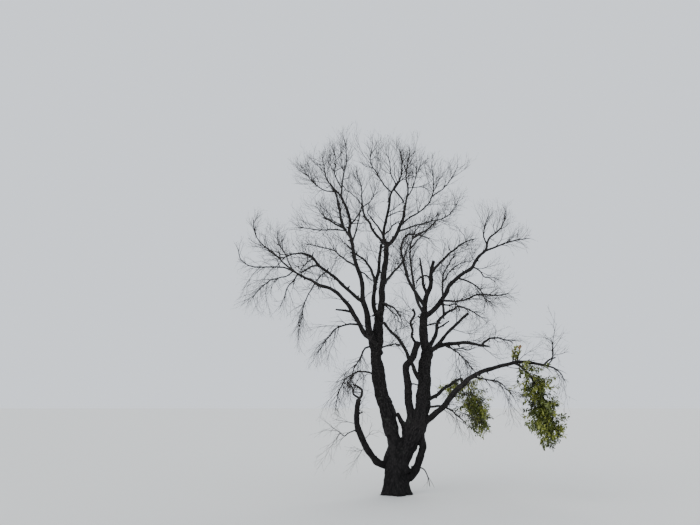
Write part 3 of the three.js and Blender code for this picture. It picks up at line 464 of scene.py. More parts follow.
class Obstacles:
    """Straight stretches of limbs and twigs that nothing else may touch."""

    def __init__(self, lines: list[Line]) -> None:
        """Gather the stretches of some lines.

        Args:
            lines: the lines.
        """
        self.starts = np.concatenate([line.points[:-1] for line in lines])
        self.ends = np.concatenate([line.points[1:] for line in lines])
        self.radii = np.concatenate([np.maximum(line.radii[:-1], line.radii[1:]) for line in lines])

    def gaps(self, start: Array, end: Array) -> Array:
        """Find the distances from one straight stretch to all of these.

        Args:
            start: where the stretch starts.
            end: where it ends, which may be the same point.

        Returns:
            The distances.
        """
        own, other, between = end - start, self.ends - self.starts, start - self.starts
        own_own, own_other, other_other = own @ own, other @ own, (other * other).sum(axis=1)
        own_between, other_between = between @ own, (other * between).sum(axis=1)
        slant = own_own * other_other - own_other * own_other
        first = own_other * other_between - other_other * own_between
        first = np.clip(first / np.maximum(slant, TINY), 0, 1) * (slant > TINY)
        there = np.clip((own_other * first + other_between) / other_other, 0, 1)
        here = np.zeros_like(there)
        if own_own > TINY:
            here = np.clip((own_other * there - own_between) / own_own, 0, 1)
        apart = start + own * here[:, None] - self.starts - other * there[:, None]
        return np.linalg.norm(apart, axis=1)

    def clear(self, run: list[Array], room: float) -> bool:
        """Return whether a run of points keeps some room to every stretch's surface."""
        return all((self.gaps(a, b) >= self.radii + room).all() for a, b in zip(run, run[1:]))


@dataclass(frozen=True)
class TwigRule:
    """The rule that sets twigs on a leader, with the values that the solids have."""

    turn_spread: float = 30
    lean: float = 46
    lean_spread: float = 16
    foot: float = 0.62
    thickest: float = 0.032
    start: float = 0.16
    last: float = 0.985
    step_start: float = 0.55
    step_spread: float = 0.3
    shortening: float = 0.45
    least_length: float = 0.75
    length_spread: float = 0.5
    elbow: float = 0.48
    elbow_girth: float = 0.72
    elbow_offset: float = 0.1
    turn_back: float = 0.2
    lift_at_foot: float = 0.5
    lift_at_elbow: float = 0.6
    long_twig: float = 0.5
    side_length: float = 0.55
    side_start: float = 0.4
    side_spread: float = 0.25
    root: float = 0.25
    clear: float = 0.012
    ground_clear: float = 0.25

    def twig(self, bearer: Line, at: float, turn: float, length: float, lift: float,
             random: SeededRandom, straight: bool = False) -> Line:
        """Grow one twig with a kink half way.

        Args:
            bearer: the leader or twig that it leaves.
            at: the share of the bearer's length where it leaves.
            turn: the angle round the bearer, in radians.
            length: its length.
            lift: how far it turns up.
            random: the mass's random numbers.
            straight: whether it has no kink.

        Returns:
            The twig's line.
        """
        point, direction, radius = bearer.place(at)
        girth = min(radius * 2 * self.foot, self.thickest)
        side = turned(across(direction), direction, turn)
        lean = math.radians(self.lean + self.lean_spread * (random() - 0.5))
        way = unit(direction * math.cos(lean) + side * math.sin(lean) + UP * (lift * self.lift_at_foot))
        kink = turned(across(way), way, random() * 2 * math.pi)
        middle = point + way * (length * self.elbow) + kink * (length * self.elbow_offset)
        onward = unit(way + UP * (lift * self.lift_at_elbow) - kink * self.turn_back)
        tip = middle + onward * (length * (1 - self.elbow))
        points = np.array((point, tip) if straight else (point, middle, tip))
        half = girth / 2
        radii = np.array((half, 0.0) if straight else (half, half * self.elbow_girth, 0.0))
        return Line(points, radii, shares_along(points), bearer, at)

    def fits(self, twig: Line, own: Obstacles, others: Obstacles, limbs: Obstacles) -> bool:
        """Find whether a twig keeps to its mass's own space and touches nothing.

        Args:
            twig: the twig.
            own: its mass's leaders.
            others: the other masses' leaders and twigs.
            limbs: the trunk and boughs.

        Returns:
            Whether it fits.
        """
        tip = twig.points[-1]
        if tip[2] < self.ground_clear or own.gaps(tip, tip).min() > others.gaps(tip, tip).min():
            return False
        start = twig.points[0] + (twig.points[1] - twig.points[0]) * self.root
        run = [start, *twig.points[1:]]
        room = twig.radii[0] + self.clear
        return limbs.clear(run, room) and others.clear(run, room)

    def twigs(self, row: Mass, leaders: list[Line], limbs: Obstacles, others: Obstacles) -> list[Line]:
        """Grow the twigs of one mass.

        Args:
            row: the mass.
            leaders: its leaders.
            limbs: the trunk and boughs.
            others: the other masses' leaders and the twigs that they have so far.

        Returns:
            The twigs that fit.
        """
        random = SeededRandom(row.name)
        own = Obstacles(leaders)
        weights = [float(np.linalg.norm(line.points[-1] - line.points[0])) for line in leaders]
        kept: list[Line] = []
        turn = random() * 360
        for leader, weight in zip(leaders, weights):
            count = math.floor(row.twigs * weight / sum(weights) + 0.5)
            for i in range(count):
                step = i + self.step_start + self.step_spread * random()
                share = self.start + (1 - self.start) * step / count
                turn += GOLDEN_ANGLE + self.turn_spread * (random() - 0.5)
                longest = row.length * (1 - self.shortening * share)
                length = longest * (self.least_length + self.length_spread * random())
                twig = self.twig(leader, min(share, self.last), math.radians(turn), length, row.lift, random)
                side_at = self.side_start + self.side_spread * random()
                side_turn = math.radians(random() * 360)
                if not self.fits(twig, own, others, limbs):
                    continue
                kept.append(twig)
                if length < self.long_twig:
                    continue
                side_length = length * self.side_length
                side = self.twig(twig, side_at, side_turn, side_length, row.lift, random, straight=True)
                if self.fits(side, own, others, limbs):
                    kept.append(side)
        return kept


@dataclass(frozen=True)
class Spray:
    """Where a spray of leaves grows: its root, the way it points, its length and its bearer's radius."""

    root: Array
    way: Array
    length: float
    radius: float


@dataclass(frozen=True)
class LeafRule:
    """The rule that sets sprays of leaves on leaders and twigs, with the values that the solids have."""

    length: float = 0.28
    step: float = 0.23
    turn_spread: float = 40
    forward: float = 0.5
    droop: float = 0.55
    least: float = 0.7
    spread: float = 0.5
    bare_leader: float = 0.35
    bare_twig: float = 0.2
    clear: float = 0.03
    stalk: float = 0.05

    def sprays(self, row: Mass, leaders: list[Line], twigs: list[Line], taken: Obstacles) -> list[Spray]:
        """Find where the sprays of one leafy mass grow.

        Args:
            row: the mass.
            leaders: its leaders.
            twigs: its twigs.
            taken: everything else that a spray keeps clear of.

        Returns:
            The sprays that fit.
        """
        random = SeededRandom(f"{row.name} leaves")
        bearers = [(line, self.bare_leader) for line in leaders] + [(line, self.bare_twig) for line in twigs]
        found = []
        for bearer, first in bearers:
            count = max(1, math.floor(bearer.length() * (1 - first) / self.step))
            for i in range(count):
                point, direction, radius = bearer.place(first + (1 - first) * (i + 0.5) / count)
                turn = math.radians(GOLDEN_ANGLE * i + self.turn_spread * random())
                side = turned(across(direction), direction, turn)
                way = unit(side + direction * self.forward - UP * self.droop)
                random()  # The solids turn their leaf by this draw.
                size = self.length * (self.least + self.spread * random())
                if taken.clear([point + way * self.stalk, point + way * size], self.clear):
                    found.append(Spray(point, way, size, radius))
        return found


@dataclass
class Skeleton:
    """The axes of the trunk, the boughs, the leaders and the twigs, grown as the solids are."""

    column_heights: tuple[float, ...] = (0, 0.12, 0.3, 0.55, 0.9, 1.22)
    trunk_girth: float = 0.72
    trunk_lean: float = 2
    flare: float = 0.13
    flare_height: float = 0.26
    crook: float = 0.055
    long_leg: float = 0.55
    collar: float = 1.22
    near_tip: float = 0.9
    axes: dict[str, Line] = field(default_factory=dict)
    leaders: dict[str, list[Line]] = field(default_factory=dict)
    twigs: dict[str, list[Line]] = field(default_factory=dict)
    sprays: dict[str, list[Spray]] = field(default_factory=dict)
    extras: dict[str, Line] = field(default_factory=dict)

    def __post_init__(self) -> None:
        """Grow every axis in the order of the tables, with the snags and branches as extras."""
        rule, leaf_rule = TwigRule(), LeafRule()
        self.axes["column"] = self.column()
        for row in TRUNK_PARTS:
            self.axes[row.name] = self.limb(row, self.axes[row.on], collar=False)
        for row in BOUGHS:
            self.axes[row.name] = self.limb(row, self.axes[row.on])
        limbs = Obstacles(list(self.axes.values()))
        rows = [*MASSES, *LEAFY_MASSES]
        self.leaders.update({row.name: self.mass_leaders(row) for row in rows})
        for row in rows:
            near = [line for name, lines in self.leaders.items() if name != row.name for line in lines]
            near += [line for lines in self.twigs.values() for line in lines]
            others = Obstacles(near)
            leaders = self.leaders[row.name]
            self.twigs[row.name] = rule.twigs(row, leaders, limbs, others)
            if row in LEAFY_MASSES:
                taken = Obstacles([*self.axes.values(), *near])
                self.sprays[row.name] = leaf_rule.sprays(row, leaders, self.twigs[row.name], taken)
        bearers = {**self.axes, **{name: leaders[0] for name, leaders in self.leaders.items()}}
        for row in (*SNAGS, *BRANCHES):
            bearers[row.name] = self.extras[row.name] = self.limb(row, bearers[row.on], collar=False)

    def column(self) -> Line:
        """Grow the axis of the trunk's column, with the flare at its foot.

        Returns:
            The axis.
        """
        heights = np.array(self.column_heights)
        points = np.outer(heights, (math.tan(math.radians(self.trunk_lean)), 0, 1))
        return Line(points, self.column_radius(heights), heights / heights[-1])

    def column_radius(self, heights: Array) -> Array:
        """Return the column's radius at some heights."""
        return self.trunk_girth / 2 + self.flare * np.exp(-heights / self.flare_height)

    def limb(self, row: Limb, bearer: Line, kinked: bool = True, collar: bool = True) -> Line:
        """Grow a limb on what bears it.

        Args:
            row: the limb's row in the tables.
            bearer: the limb that it leaves.
            kinked: whether its long legs have a kink in the middle.
            collar: whether it swells at its foot.

        Returns:
            The limb's line.
        """
        random = SeededRandom(row.name + row.on)
        whole = sum(run for run, _ in row.legs)
        points = [bearer.place(row.at)[0]]
        for run, lean in row.legs:
            start, angle = points[-1], math.radians(lean)
            step = np.array((run * math.sin(angle), row.away * run / whole, run * math.cos(angle)))
            if kinked and run > self.long_leg:
                way = unit(step)
                side = turned(across(way), way, random() * 2 * math.pi)
                points.append(start + step / 2 + side * (self.crook * run))
            points.append(start + step)
        points = np.array(points)
        shares = shares_along(points)
        radii = (row.foot + (row.tip - row.foot) * shares) / 2
        if collar and row.at < self.near_tip:
            radii[0] *= self.collar
        return Line(points, radii, shares, bearer, row.at)

    def mass_leaders(self, row: Mass) -> list[Line]:
        """Grow the leaders of one mass, the first of which bears the rest.

        Args:
            row: the mass.

        Returns:
            The leaders.
        """
        leaders: list[Line] = []
        for leader in row.leaders:
            bearer = leaders[0] if leader.on == "stem" else self.axes[leader.on]
            leaders.append(self.limb(leader, bearer, kinked=False, collar=False))
        return leaders


def curved(line: Line, spacing: float, foot: Array) -> Line:
    """Return a line as a smooth curve through its points.

    Args:
        line: the line.
        spacing: the longest step between the curve's points.
        foot: where the curve starts.

    Returns:
        The curve, with the same tip.
    """
    points = np.vstack((foot, line.points[1:]))
    ends = np.vstack((2 * points[0] - points[1], points, 2 * points[-1] - points[-2]))
    steps = np.diff(ends, axis=0)
    knots = np.concatenate(([0.0], np.cumsum(np.sqrt(np.linalg.norm(steps, axis=1)))))
    slopes = steps / np.diff(knots)[:, None]
    tangents = slopes[:-1] + slopes[1:] - (ends[2:] - ends[:-2]) / (knots[2:] - knots[:-2])[:, None]
    places, radii = [], []
    for i in range(len(points) - 1):
        count = max(1, math.ceil(float(np.linalg.norm(points[i + 1] - points[i])) / spacing))
        last = i == len(points) - 2
        t = (np.arange(count + last) / count)[:, None]
        span = knots[i + 2] - knots[i + 1]
        place = (2 * t**3 - 3 * t**2 + 1) * points[i] + (3 * t**2 - 2 * t**3) * points[i + 1]
        bend = (t**3 - 2 * t**2 + t) * tangents[i] + (t**3 - t**2) * tangents[i + 1]
        places.append(place + bend * span)
        radii.append(line.radii[i] + (line.radii[i + 1] - line.radii[i]) * t[:, 0])
    places = np.concatenate(places)
    return Line(places, np.concatenate(radii), shares_along(places), line.on, line.at)


def noise_at(places: Array) -> Array:
    """Return smooth noise from -1 to 1 at each of some places."""
    return np.array([noise.noise(place) for place in places.tolist()])


@dataclass(frozen=True)
class Growth:
    """How old wood is crooked and knobbly between the points that its line goes through."""

    spacing: float
    wander: float
    least_wander: float
    wander_pitch: float
    knobs: float
    knob_pitch: float
    flare: float
    flare_reach: float
    widest: float = 0.05
    side_limit: float = 0.9
    swing_apart: float = 9.7
    knobs_apart: float = 31.3

    def grown(self, line: Line, foot: Array, seed: float) -> Line:
        """Return the crooked, knobbly curve of a line.

        Args:
            line: the line.
            foot: where the curve starts.
            seed: a number that sets its crooks apart from those of others.

        Returns:
            The curve.
        """
        curve = curved(line, self.spacing, foot)
        along = curve.shares * curve.length()
        frames = curve.frames()
        held = np.minimum(1, np.minimum(along, along[-1] - along) / self.wander_pitch)
        reach = (np.minimum(curve.radii, self.widest) * self.wander + self.least_wander) * held
        blank = np.zeros_like(along)
        for i in range(2):
            row = np.column_stack((along / self.wander_pitch, blank + seed, blank + i * self.swing_apart))
            swing = noise_at(row)
            curve.points = curve.points + frames[:, i] * (reach * swing)[:, None]
        knobs = noise_at(np.column_stack((along / self.knob_pitch, blank + seed + self.knobs_apart, blank)))
        near_foot = np.exp(-along / (self.flare_reach * curve.radii[0])) * (line.at < self.side_limit)
        curve.radii = curve.radii * (1 + self.knobs * knobs) * (1 + self.flare * near_foot)
        curve.shares = shares_along(curve.points)
        return curve


OLD_WOOD = Growth(
    spacing=0.07, wander=0.5, least_wander=0.012, wander_pitch=0.45, knobs=0.14, knob_pitch=0.2, flare=0.3,
    flare_reach=1.6,
)
YOUNG_WOOD = Growth(
    spacing=0.05, wander=0.6, least_wander=0.012, wander_pitch=0.22, knobs=0.1, knob_pitch=0.1, flare=0.25,
    flare_reach=1.6,
)


@dataclass
class Curves:
    """The crooked curves of the limbs, leaders and twigs, each on the curve of what bears it."""

    skeleton: Skeleton
    found: dict[int, Line] = field(default_factory=dict)
    seed_step: float = 3.7

    def __post_init__(self) -> None:
        """Start with the trunk's column, which stays straight."""
        line = self.skeleton.axes["column"]
        self.column = curved(line, OLD_WOOD.spacing, line.points[0])
        self.column.radii = self.skeleton.column_radius(self.column.points[:, 2])

    def of(self, line: Line, growth: Growth) -> Line:
        """Find the curve of one line, and first those of what bears it.

        Args:
            line: the line.
            growth: how it grows, if its curve isn't known yet.

        Returns:
            The curve.
        """
        if line.on is None:
            return self.column
        if id(line) not in self.found:
            older = growth if line.on.on is None or id(line.on) in self.found else OLD_WOOD
            foot = self.of(line.on, older).place(line.at)[0]
            self.found[id(line)] = growth.grown(line, foot, len(self.found) * self.seed_step)
        return self.found[id(line)]


@dataclass(frozen=True)
class Press:
    """A soft push on the fused wood: where it is strongest, how far it moves the bark, and its reach."""

    place: Place
    push: Place
    reach: float

    def moves(self, places: Array) -> Array:
        """Return how far each of some places moves."""
        apart = np.linalg.norm(places - np.array(self.place), axis=1) / self.reach
        return np.exp(-apart**2)[:, None] * np.array(self.push)


@dataclass(frozen=True)
class Spurs:
    """Short broken spurs that stand on a limb, where thin limbs have died back."""

    step: float = 0.42
    shift: float = 0.3
    shift_spread: float = 0.6
    last: float = 0.95
    length: float = 0.1
    least_length: float = 0.4
    forward: float = 0.3
    forward_spread: float = 0.6
    girth: float = 0.022
    most_of_limb: float = 0.5
    least_girth: float = 0.7
    girth_spread: float = 0.6
    bend: float = 0.1
    taper: tuple[float, float, float] = (1.3, 1, 0.75)
    thickest_limb: float = 0.2

    def on(self, line: Line, random: SeededRandom) -> list[Line]:
        """Set spurs on one limb.

        Args:
            line: the limb's curve.
            random: the piece's random numbers.

        Returns:
            The spurs' curves.
        """
        if line.on is None or line.radii[0] > self.thickest_limb:
            return []
        spurs = []
        for i in range(math.floor(line.length() / self.step)):
            share = (i + self.shift + self.shift_spread * random()) * self.step / line.length()
            share = min(self.last, share)
            point, way, radius = line.place(share)
            side = turned(across(way), way, random() * 2 * math.pi)
            length = radius + self.length * (self.least_length + random())
            heading = unit(side + way * (self.forward + self.forward_spread * random()))
            tip = point + heading * length
            girth = min(self.girth, radius * self.most_of_limb)
            girth *= self.least_girth + self.girth_spread * random()
            points = np.array((point, (point + tip) / 2 + way * (self.bend * length), tip))
            spurs.append(Line(points, np.array(self.taper) * girth, shares_along(points), line, share))
        return spurs


@dataclass(frozen=True)
class Furrows:
    """The furrows that run along each limb in the bark, and the slow swells under them."""

    pitch: float = 0.045
    pitch_girth: float = 0.2
    least_pitch: float = 0.45
    most_pitch: float = 1.3
    stretch: float = 4.5
    width: float = 0.16
    fine: float = 2.1
    fine_apart: float = 50
    fine_depth: float = 0.45
    deepest: float = 0.023
    most_of_limb: float = 0.11
    rise: float = 0.35
    fork_fade: float = 0.03
    limbs_apart: float = 7
    swell_pitch: float = 0.16
    most_swell: float = 0.02
    swell_share: float = 0.12
    batch: int = 4_000_000

    def press_in(self, mesh: bpy.types.Mesh, lines: list[Line], spacing: float) -> None:
        """Press the furrows into a mesh, and keep their pattern for the finish.

        Args:
            mesh: the mesh of the fused limbs.
            lines: the limbs' curves.
            spacing: the step along the curves at which the mesh is measured.
        """
        places = vectors_of(mesh, "co")
        dense = [curved(line, spacing, line.points[0]) for line in lines]
        pattern, girth, fade = self.measured(places, dense)
        pitch = self.pitch * np.clip(girth / self.pitch_girth, self.least_pitch, self.most_pitch)
        pattern /= pitch[:, None] * np.array((1, 1, self.stretch))
        cracks = np.exp(-(noise_at(pattern) / self.width) ** 2)
        fine = np.exp(-(noise_at(pattern * self.fine + self.fine_apart) / self.width) ** 2)
        depth = np.clip(cracks + fine * self.fine_depth, 0, 1)
        reach = np.minimum(self.deepest, girth * self.most_of_limb) * fade
        swell = noise_at(places / self.swell_pitch) * np.minimum(self.most_swell, girth * self.swell_share)
        places += vectors_of(mesh, "normal") * (reach * (self.rise - depth) + swell)[:, None]
        move_vertices(mesh, places)
        give(mesh, "furrow", depth * fade)
        give(mesh, "bark", pattern)

    def measured(self, places: Array, lines: list[Line]) -> tuple[Array, Array, Array]:
        """Measure from each of some places to the limb that it belongs to.

        Args:
            places: the places.
            lines: the limbs' curves, in short steps.

        Returns:
            For each place, its offset across and along its limb, the limb's radius there, and a number that
            falls from 1 to 0 where another limb is as near.
        """
        count = len(places)
        best, second = np.full(count, np.inf), np.full(count, np.inf)
        pattern, girth = np.zeros((count, 3)), np.zeros(count)
        for i, line in enumerate(lines):
            frames, along = line.frames(), line.shares * line.length()
            low = line.points.min(axis=0) - line.radii.max() * 2
            high = line.points.max(axis=0) + line.radii.max() * 2
            near = np.flatnonzero(((places > low) & (places < high)).all(axis=1))
            for part in np.array_split(near, len(near) * len(along) // self.batch + 1):
                apart = np.linalg.norm(places[part, None] - line.points[None], axis=2)
                k = apart.argmin(axis=1)
                local = np.einsum("nij,nj->ni", frames[k], places[part] - line.points[k])
                over = np.linalg.norm(local[:, :2], axis=1) - line.radii[k]
                local[:, 2] += along[k] + i * self.limbs_apart
                closer = over < best[part]
                second[part] = np.where(closer, best[part], np.minimum(second[part], over))
                kept = part[closer]
                best[kept], pattern[kept], girth[kept] = over[closer], local[closer], line.radii[k][closer]
        return pattern, girth, np.clip((second - best) / self.fork_fade, 0, 1)


@dataclass
class Wood:
    """Some limbs of the tree, fused at their forks, with furrowed bark."""

    name: str
    nodes: tuple[str, ...]
    limbs: tuple[str, ...]
    snags: tuple[str, ...]
    voxel: float
    fuller: tuple[tuple[str, float], ...] = ()
    presses: tuple[Press, ...] = ()
    lobes: int = 5
    lobe_depth: float = 0.16
    lobe_turn: float = 1
    sides: int = 16
    smoothing: int = 4
    root: float = 0.7
    dome: tuple[tuple[float, float], ...] = ((0.3, 0.85), (0.5, 0.5))
    swell: float = 0.5
    measure_step: float = 2

    def build(self, curves: Curves, finish: "BarkFinish") -> None:
        """Build the piece.

        Args:
            curves: the tree's curves.
            finish: the bark.
        """
        axes = {**curves.skeleton.axes, **curves.skeleton.extras}
        lines = [curves.of(axes[name], OLD_WOOD) for name in (*self.limbs, *self.snags)]
        for name, girth in self.fuller:
            curve = curves.of(axes[name], OLD_WOOD)
            curve.radii = curve.radii * girth
        random = SeededRandom(self.name)
        lines += [spur for line in lines for spur in Spurs().on(line, random)]
        shells = [self.shell(f"{self.name}_{i}", line) for i, line in enumerate(lines)]
        if self.limbs[0] == "column":
            self.give_lobes(shells[0], curves.skeleton)
        piece = self.fused(shells)
        Furrows().press_in(piece.data, lines, self.voxel * self.measure_step)
        self.press(piece)
        self.cut_flat(piece)
        hand_in(piece, [finish], self.nodes)

    def shell(self, name: str, line: Line) -> Object:
        """Model one limb from rings that are bridged and closed at both ends.

        Args:
            name: the name of the shell.
            line: the limb's curve.

        Returns:
            The shell.
        """
        shell = bpy.data.objects.new(name, bpy.data.meshes.new(name))
        bpy.context.scene.collection.objects.link(shell)
        select([shell])
        bpy.ops.object.mode_set(mode="EDIT")
        points, radii, frames = line.points.copy(), line.radii, line.frames()
        points[0] -= unit(points[1] - points[0]) * (radii[0] * self.root)
        beyond = [points[-1] + unit(points[-1] - points[-2]) * (radii[-1] * step) for step, _ in self.dome]
        points = np.vstack((points, beyond))
        radii = np.append(radii, [radii[-1] * share for _, share in self.dome])
        frames = np.concatenate((frames, frames[-1:].repeat(len(self.dome), axis=0)))
        for point, radius, ways in zip(points, radii, frames):
            bpy.ops.mesh.primitive_circle_add(
                vertices=self.sides,
                radius=radius + self.voxel * self.swell,
                location=point,
                rotation=Matrix(ways.tolist()).transposed().to_euler(),
            )
        bpy.ops.mesh.select_all(action="SELECT")
        bpy.ops.mesh.bridge_edge_loops()
        bpy.ops.mesh.select_all(action="SELECT")
        bpy.ops.mesh.fill_holes(sides=0)
        bpy.ops.mesh.select_all(action="SELECT")
        bpy.ops.mesh.normals_make_consistent(inside=False)
        bpy.ops.object.mode_set(mode="OBJECT")
        return shell

    def give_lobes(self, shell: Object, skeleton: Skeleton) -> None:
        """Swell the foot of the column into its lobes.

        Args:
            shell: the column's shell.
            skeleton: the skeleton, which has the height of the flare.
        """
        places = vectors_of(shell.data, "co")
        lobes = self.lobe_depth * np.exp(-places[:, 2] / skeleton.flare_height)
        swell = 1 + lobes * np.cos(self.lobes * np.arctan2(places[:, 1], places[:, 0]) + self.lobe_turn)
        places[:, :2] *= swell[:, None]
        move_vertices(shell.data, places)

    def fused(self, shells: list[Object]) -> Object:
        """Fuse the shells of the limbs into one smoothed skin.

        Args:
            shells: the shells.

        Returns:
            The fused piece.
        """
        select(shells)
        piece = shells[0]
        bpy.ops.object.join()
        piece.name = piece.data.name = self.name
        remesh = piece.modifiers.new("fuse", "REMESH")
        remesh.mode = "VOXEL"
        remesh.voxel_size = self.voxel
        bpy.ops.object.modifier_apply(modifier=remesh.name)
        smooth = piece.modifiers.new("smooth", "SMOOTH")
        smooth.iterations = self.smoothing
        bpy.ops.object.modifier_apply(modifier=smooth.name)
        return piece

    def press(self, piece: Object) -> None:
        """Push the wood in or out where its outline has a waist or a web between limbs.

        Args:
            piece: the fused limbs.
        """
        places = vectors_of(piece.data, "co")
        for press in self.presses:
            places += press.moves(places)
        move_vertices(piece.data, places)

    def cut_flat(self, piece: Object) -> None:
        """Cut the piece flat where it meets the ground, and close the cut.

        Args:
            piece: the fused limbs.
        """
        select([piece])
        bpy.ops.object.mode_set(mode="EDIT")
        bpy.ops.mesh.select_all(action="SELECT")
        bpy.ops.mesh.bisect(plane_co=(0, 0, 0), plane_no=(0, 0, 1), use_fill=True, clear_inner=True)
        bpy.ops.object.mode_set(mode="OBJECT")


def vectors_of(mesh: bpy.types.Mesh, kind: str) -> Array:
    """Read a vector from each vertex of a mesh.

    Args:
        mesh: the mesh.
        kind: "co" for the vertices' places or "normal" for their normals.

    Returns:
        The vectors.
    """
    vectors = np.empty(len(mesh.vertices) * 3)
    mesh.vertices.foreach_get(kind, vectors)
    return vectors.reshape(-1, 3)


def move_vertices(mesh: bpy.types.Mesh, places: Array) -> None:
    """Put a mesh's vertices in new places."""
    mesh.vertices.foreach_set("co", places.ravel())
    mesh.update()


def give(mesh: bpy.types.Mesh, name: str, values: Array) -> None:
    """Give each vertex of a mesh a number or a vector."""
    kind, key = ("FLOAT", "value") if values.ndim == 1 else ("FLOAT_VECTOR", "vector")
    mesh.attributes.new(name, kind, "POINT").data.foreach_set(key, values.astype(np.float32).ravel())


def hand_in(piece: Object, finishes: list["Finish"], nodes: tuple[str, ...]) -> None:
    """Finish a piece, let it stand for its nodes on the tree's one body, and report it.

    Args:
        piece: the piece.
        finishes: what it wears.
        nodes: the nodes that it stands for.
    """
    for finish in finishes:
        piece.data.materials.append(finish.material())
    select([piece])
    bpy.ops.object.shade_smooth()
    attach(piece, "root")
    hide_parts(*nodes)
    piece.data.calc_loop_triangles()
    log.info("%s: %d triangles", piece.name, len(piece.data.loop_triangles))


class Blend(Enum):
    """The ways in which two colours blend."""

    MIX = "MIX"
    MULTIPLY = "MULTIPLY"


@dataclass(frozen=True)
class Noise:
    """Noise in a finish: how fine it is, how many finer layers it has, and how strong those are."""

    scale: float
    detail: float
    roughness: float


@dataclass
class Nodes:
    """A material's node tree, with short ways to add and join its nodes."""

    material: Material
    # Painted shade: a tint that darkens the wood towards the ground, full below the lower height and gone
    # above the higher.
    ground_shade_tint: Colour = (0.5, 0.5, 0.52)
    ground_shade_from: float = 0.8
    ground_shade_to: float = 3.2

    SHARE = 0
    FIRST = 6
    SECOND = 7
    RESULT = 2

    def __post_init__(self) -> None:
        """Find the shader."""
        self.shader = self.material.node_tree.nodes["Principled BSDF"]

    def add(self, kind: str, **settings: object) -> bpy.types.Node:
        """Add a node.

        Args:
            kind: the kind of node.
            **settings: its attributes or inputs by name, each with its value.

        Returns:
            The node.
        """
        node = self.material.node_tree.nodes.new(kind)
        for name, value in settings.items():
            if hasattr(node, name):
                setattr(node, name, value)
            else:
                node.inputs[name].default_value = value
        return node

    def join(self, source: Socket, target: Socket) -> None:
        """Join an output to an input."""
        self.material.node_tree.links.new(source, target)

    def noise(self, places: Socket, kind: Noise) -> Socket:
        """Add noise.

        Args:
            places: the places that it is laid out by.
            kind: the kind of noise.

        Returns:
            The noise, from 0 to 1.
        """
        node = self.add("ShaderNodeTexNoise", Scale=kind.scale, Detail=kind.detail, Roughness=kind.roughness)
        self.join(places, node.inputs["Vector"])
        return node.outputs["Fac"]

    def two_tone(self, source: Socket, span: tuple[float, float], first: Colour, second: Colour) -> Socket:
        """Return a ramp from one colour to another over a span of the socket's values."""
        return self.ramp(source, (span[0], first), (span[1], second))

    def ramp(self, source: Socket, *stops: tuple[float, Colour]) -> Socket:
        """Add a colour ramp that a socket drives.

        Args:
            source: the socket.
            *stops: the places and colours, from 0 to 1.

        Returns:
            The ramp's colour.
        """
        node = self.add("ShaderNodeValToRGB")
        points = node.color_ramp.elements
        while len(points) < len(stops):
            points.new(0.5)
        for point, (place, colour) in zip(points, stops):
            point.position = place
            point.color = (*colour, 1)
        self.join(source, node.inputs["Fac"])
        return node.outputs["Color"]

    def blend(self, first: Socket, second: Socket | Colour, share: Socket | float = 1,
              how: Blend = Blend.MIX) -> Socket:
        """Blend two colours.

        Args:
            first: the first colour.
            second: the second colour, from a socket or plain.
            share: how much of the second shows, from a socket or plain.
            how: the way they blend.

        Returns:
            The blended colour.
        """
        node = self.add("ShaderNodeMix", data_type="RGBA", blend_type=how.value)
        if isinstance(share, (int, float)):
            node.inputs[self.SHARE].default_value = share
        else:
            self.join(share, node.inputs[self.SHARE])
        self.join(first, node.inputs[self.FIRST])
        if isinstance(second, tuple):
            node.inputs[self.SECOND].default_value = (*second, 1)
        else:
            self.join(second, node.inputs[self.SECOND])
        return node.outputs[self.RESULT]

    def shade_towards_ground(self, colour: Socket, place: Socket) -> Socket:
        """Darken a colour towards the ground, as painted shade.

        Args:
            colour: the colour.
            place: the place on the piece.

        Returns:
            The darkened colour.
        """
        height = self.add("ShaderNodeSeparateXYZ")
        self.join(place, height.inputs["Vector"])
        rise = self.add("ShaderNodeMapRange", **{"From Min": self.ground_shade_from, "From Max": self.ground_shade_to})
        self.join(height.outputs["Z"], rise.inputs["Value"])
        # Painted shade: the full tint at the ground, fading to white up the tree.
        ground_shading = self.two_tone(rise.outputs["Result"], (0, 1), self.ground_shade_tint, (1, 1, 1))
        return self.blend(colour, ground_shading, how=Blend.MULTIPLY)


@dataclass(frozen=True)
class Finish:
    """A finish whose material is made once and then shared by the pieces that wear it."""

    name: str
    roughness: float
    gloss: float
    bump: float
    bump_depth: float

    def material(self) -> Material:
        """Find the finish's material, or make it when it is first asked for.

        Returns:
            The material.
        """
        known = bpy.data.materials.get(self.name)
        if known:
            return known
        nodes = Nodes(new_material(self.name))
        nodes.shader.inputs["Roughness"].default_value = self.roughness
        nodes.shader.inputs["Specular IOR Level"].default_value = self.gloss
        colour, height = self.skin(nodes, nodes.add("ShaderNodeTexCoord").outputs["Object"])
        nodes.join(colour, nodes.shader.inputs["Base Color"])
        bump = nodes.add("ShaderNodeBump", Strength=self.bump, Distance=self.bump_depth)
        nodes.join(height, bump.inputs["Height"])
        nodes.join(bump.outputs["Normal"], nodes.shader.inputs["Normal"])
        return nodes.material

    def skin(self, nodes: Nodes, place: Socket) -> tuple[Socket, Socket]:
        """Return the finish's colour and the height of its relief, from the places on the piece."""
        raise NotImplementedError


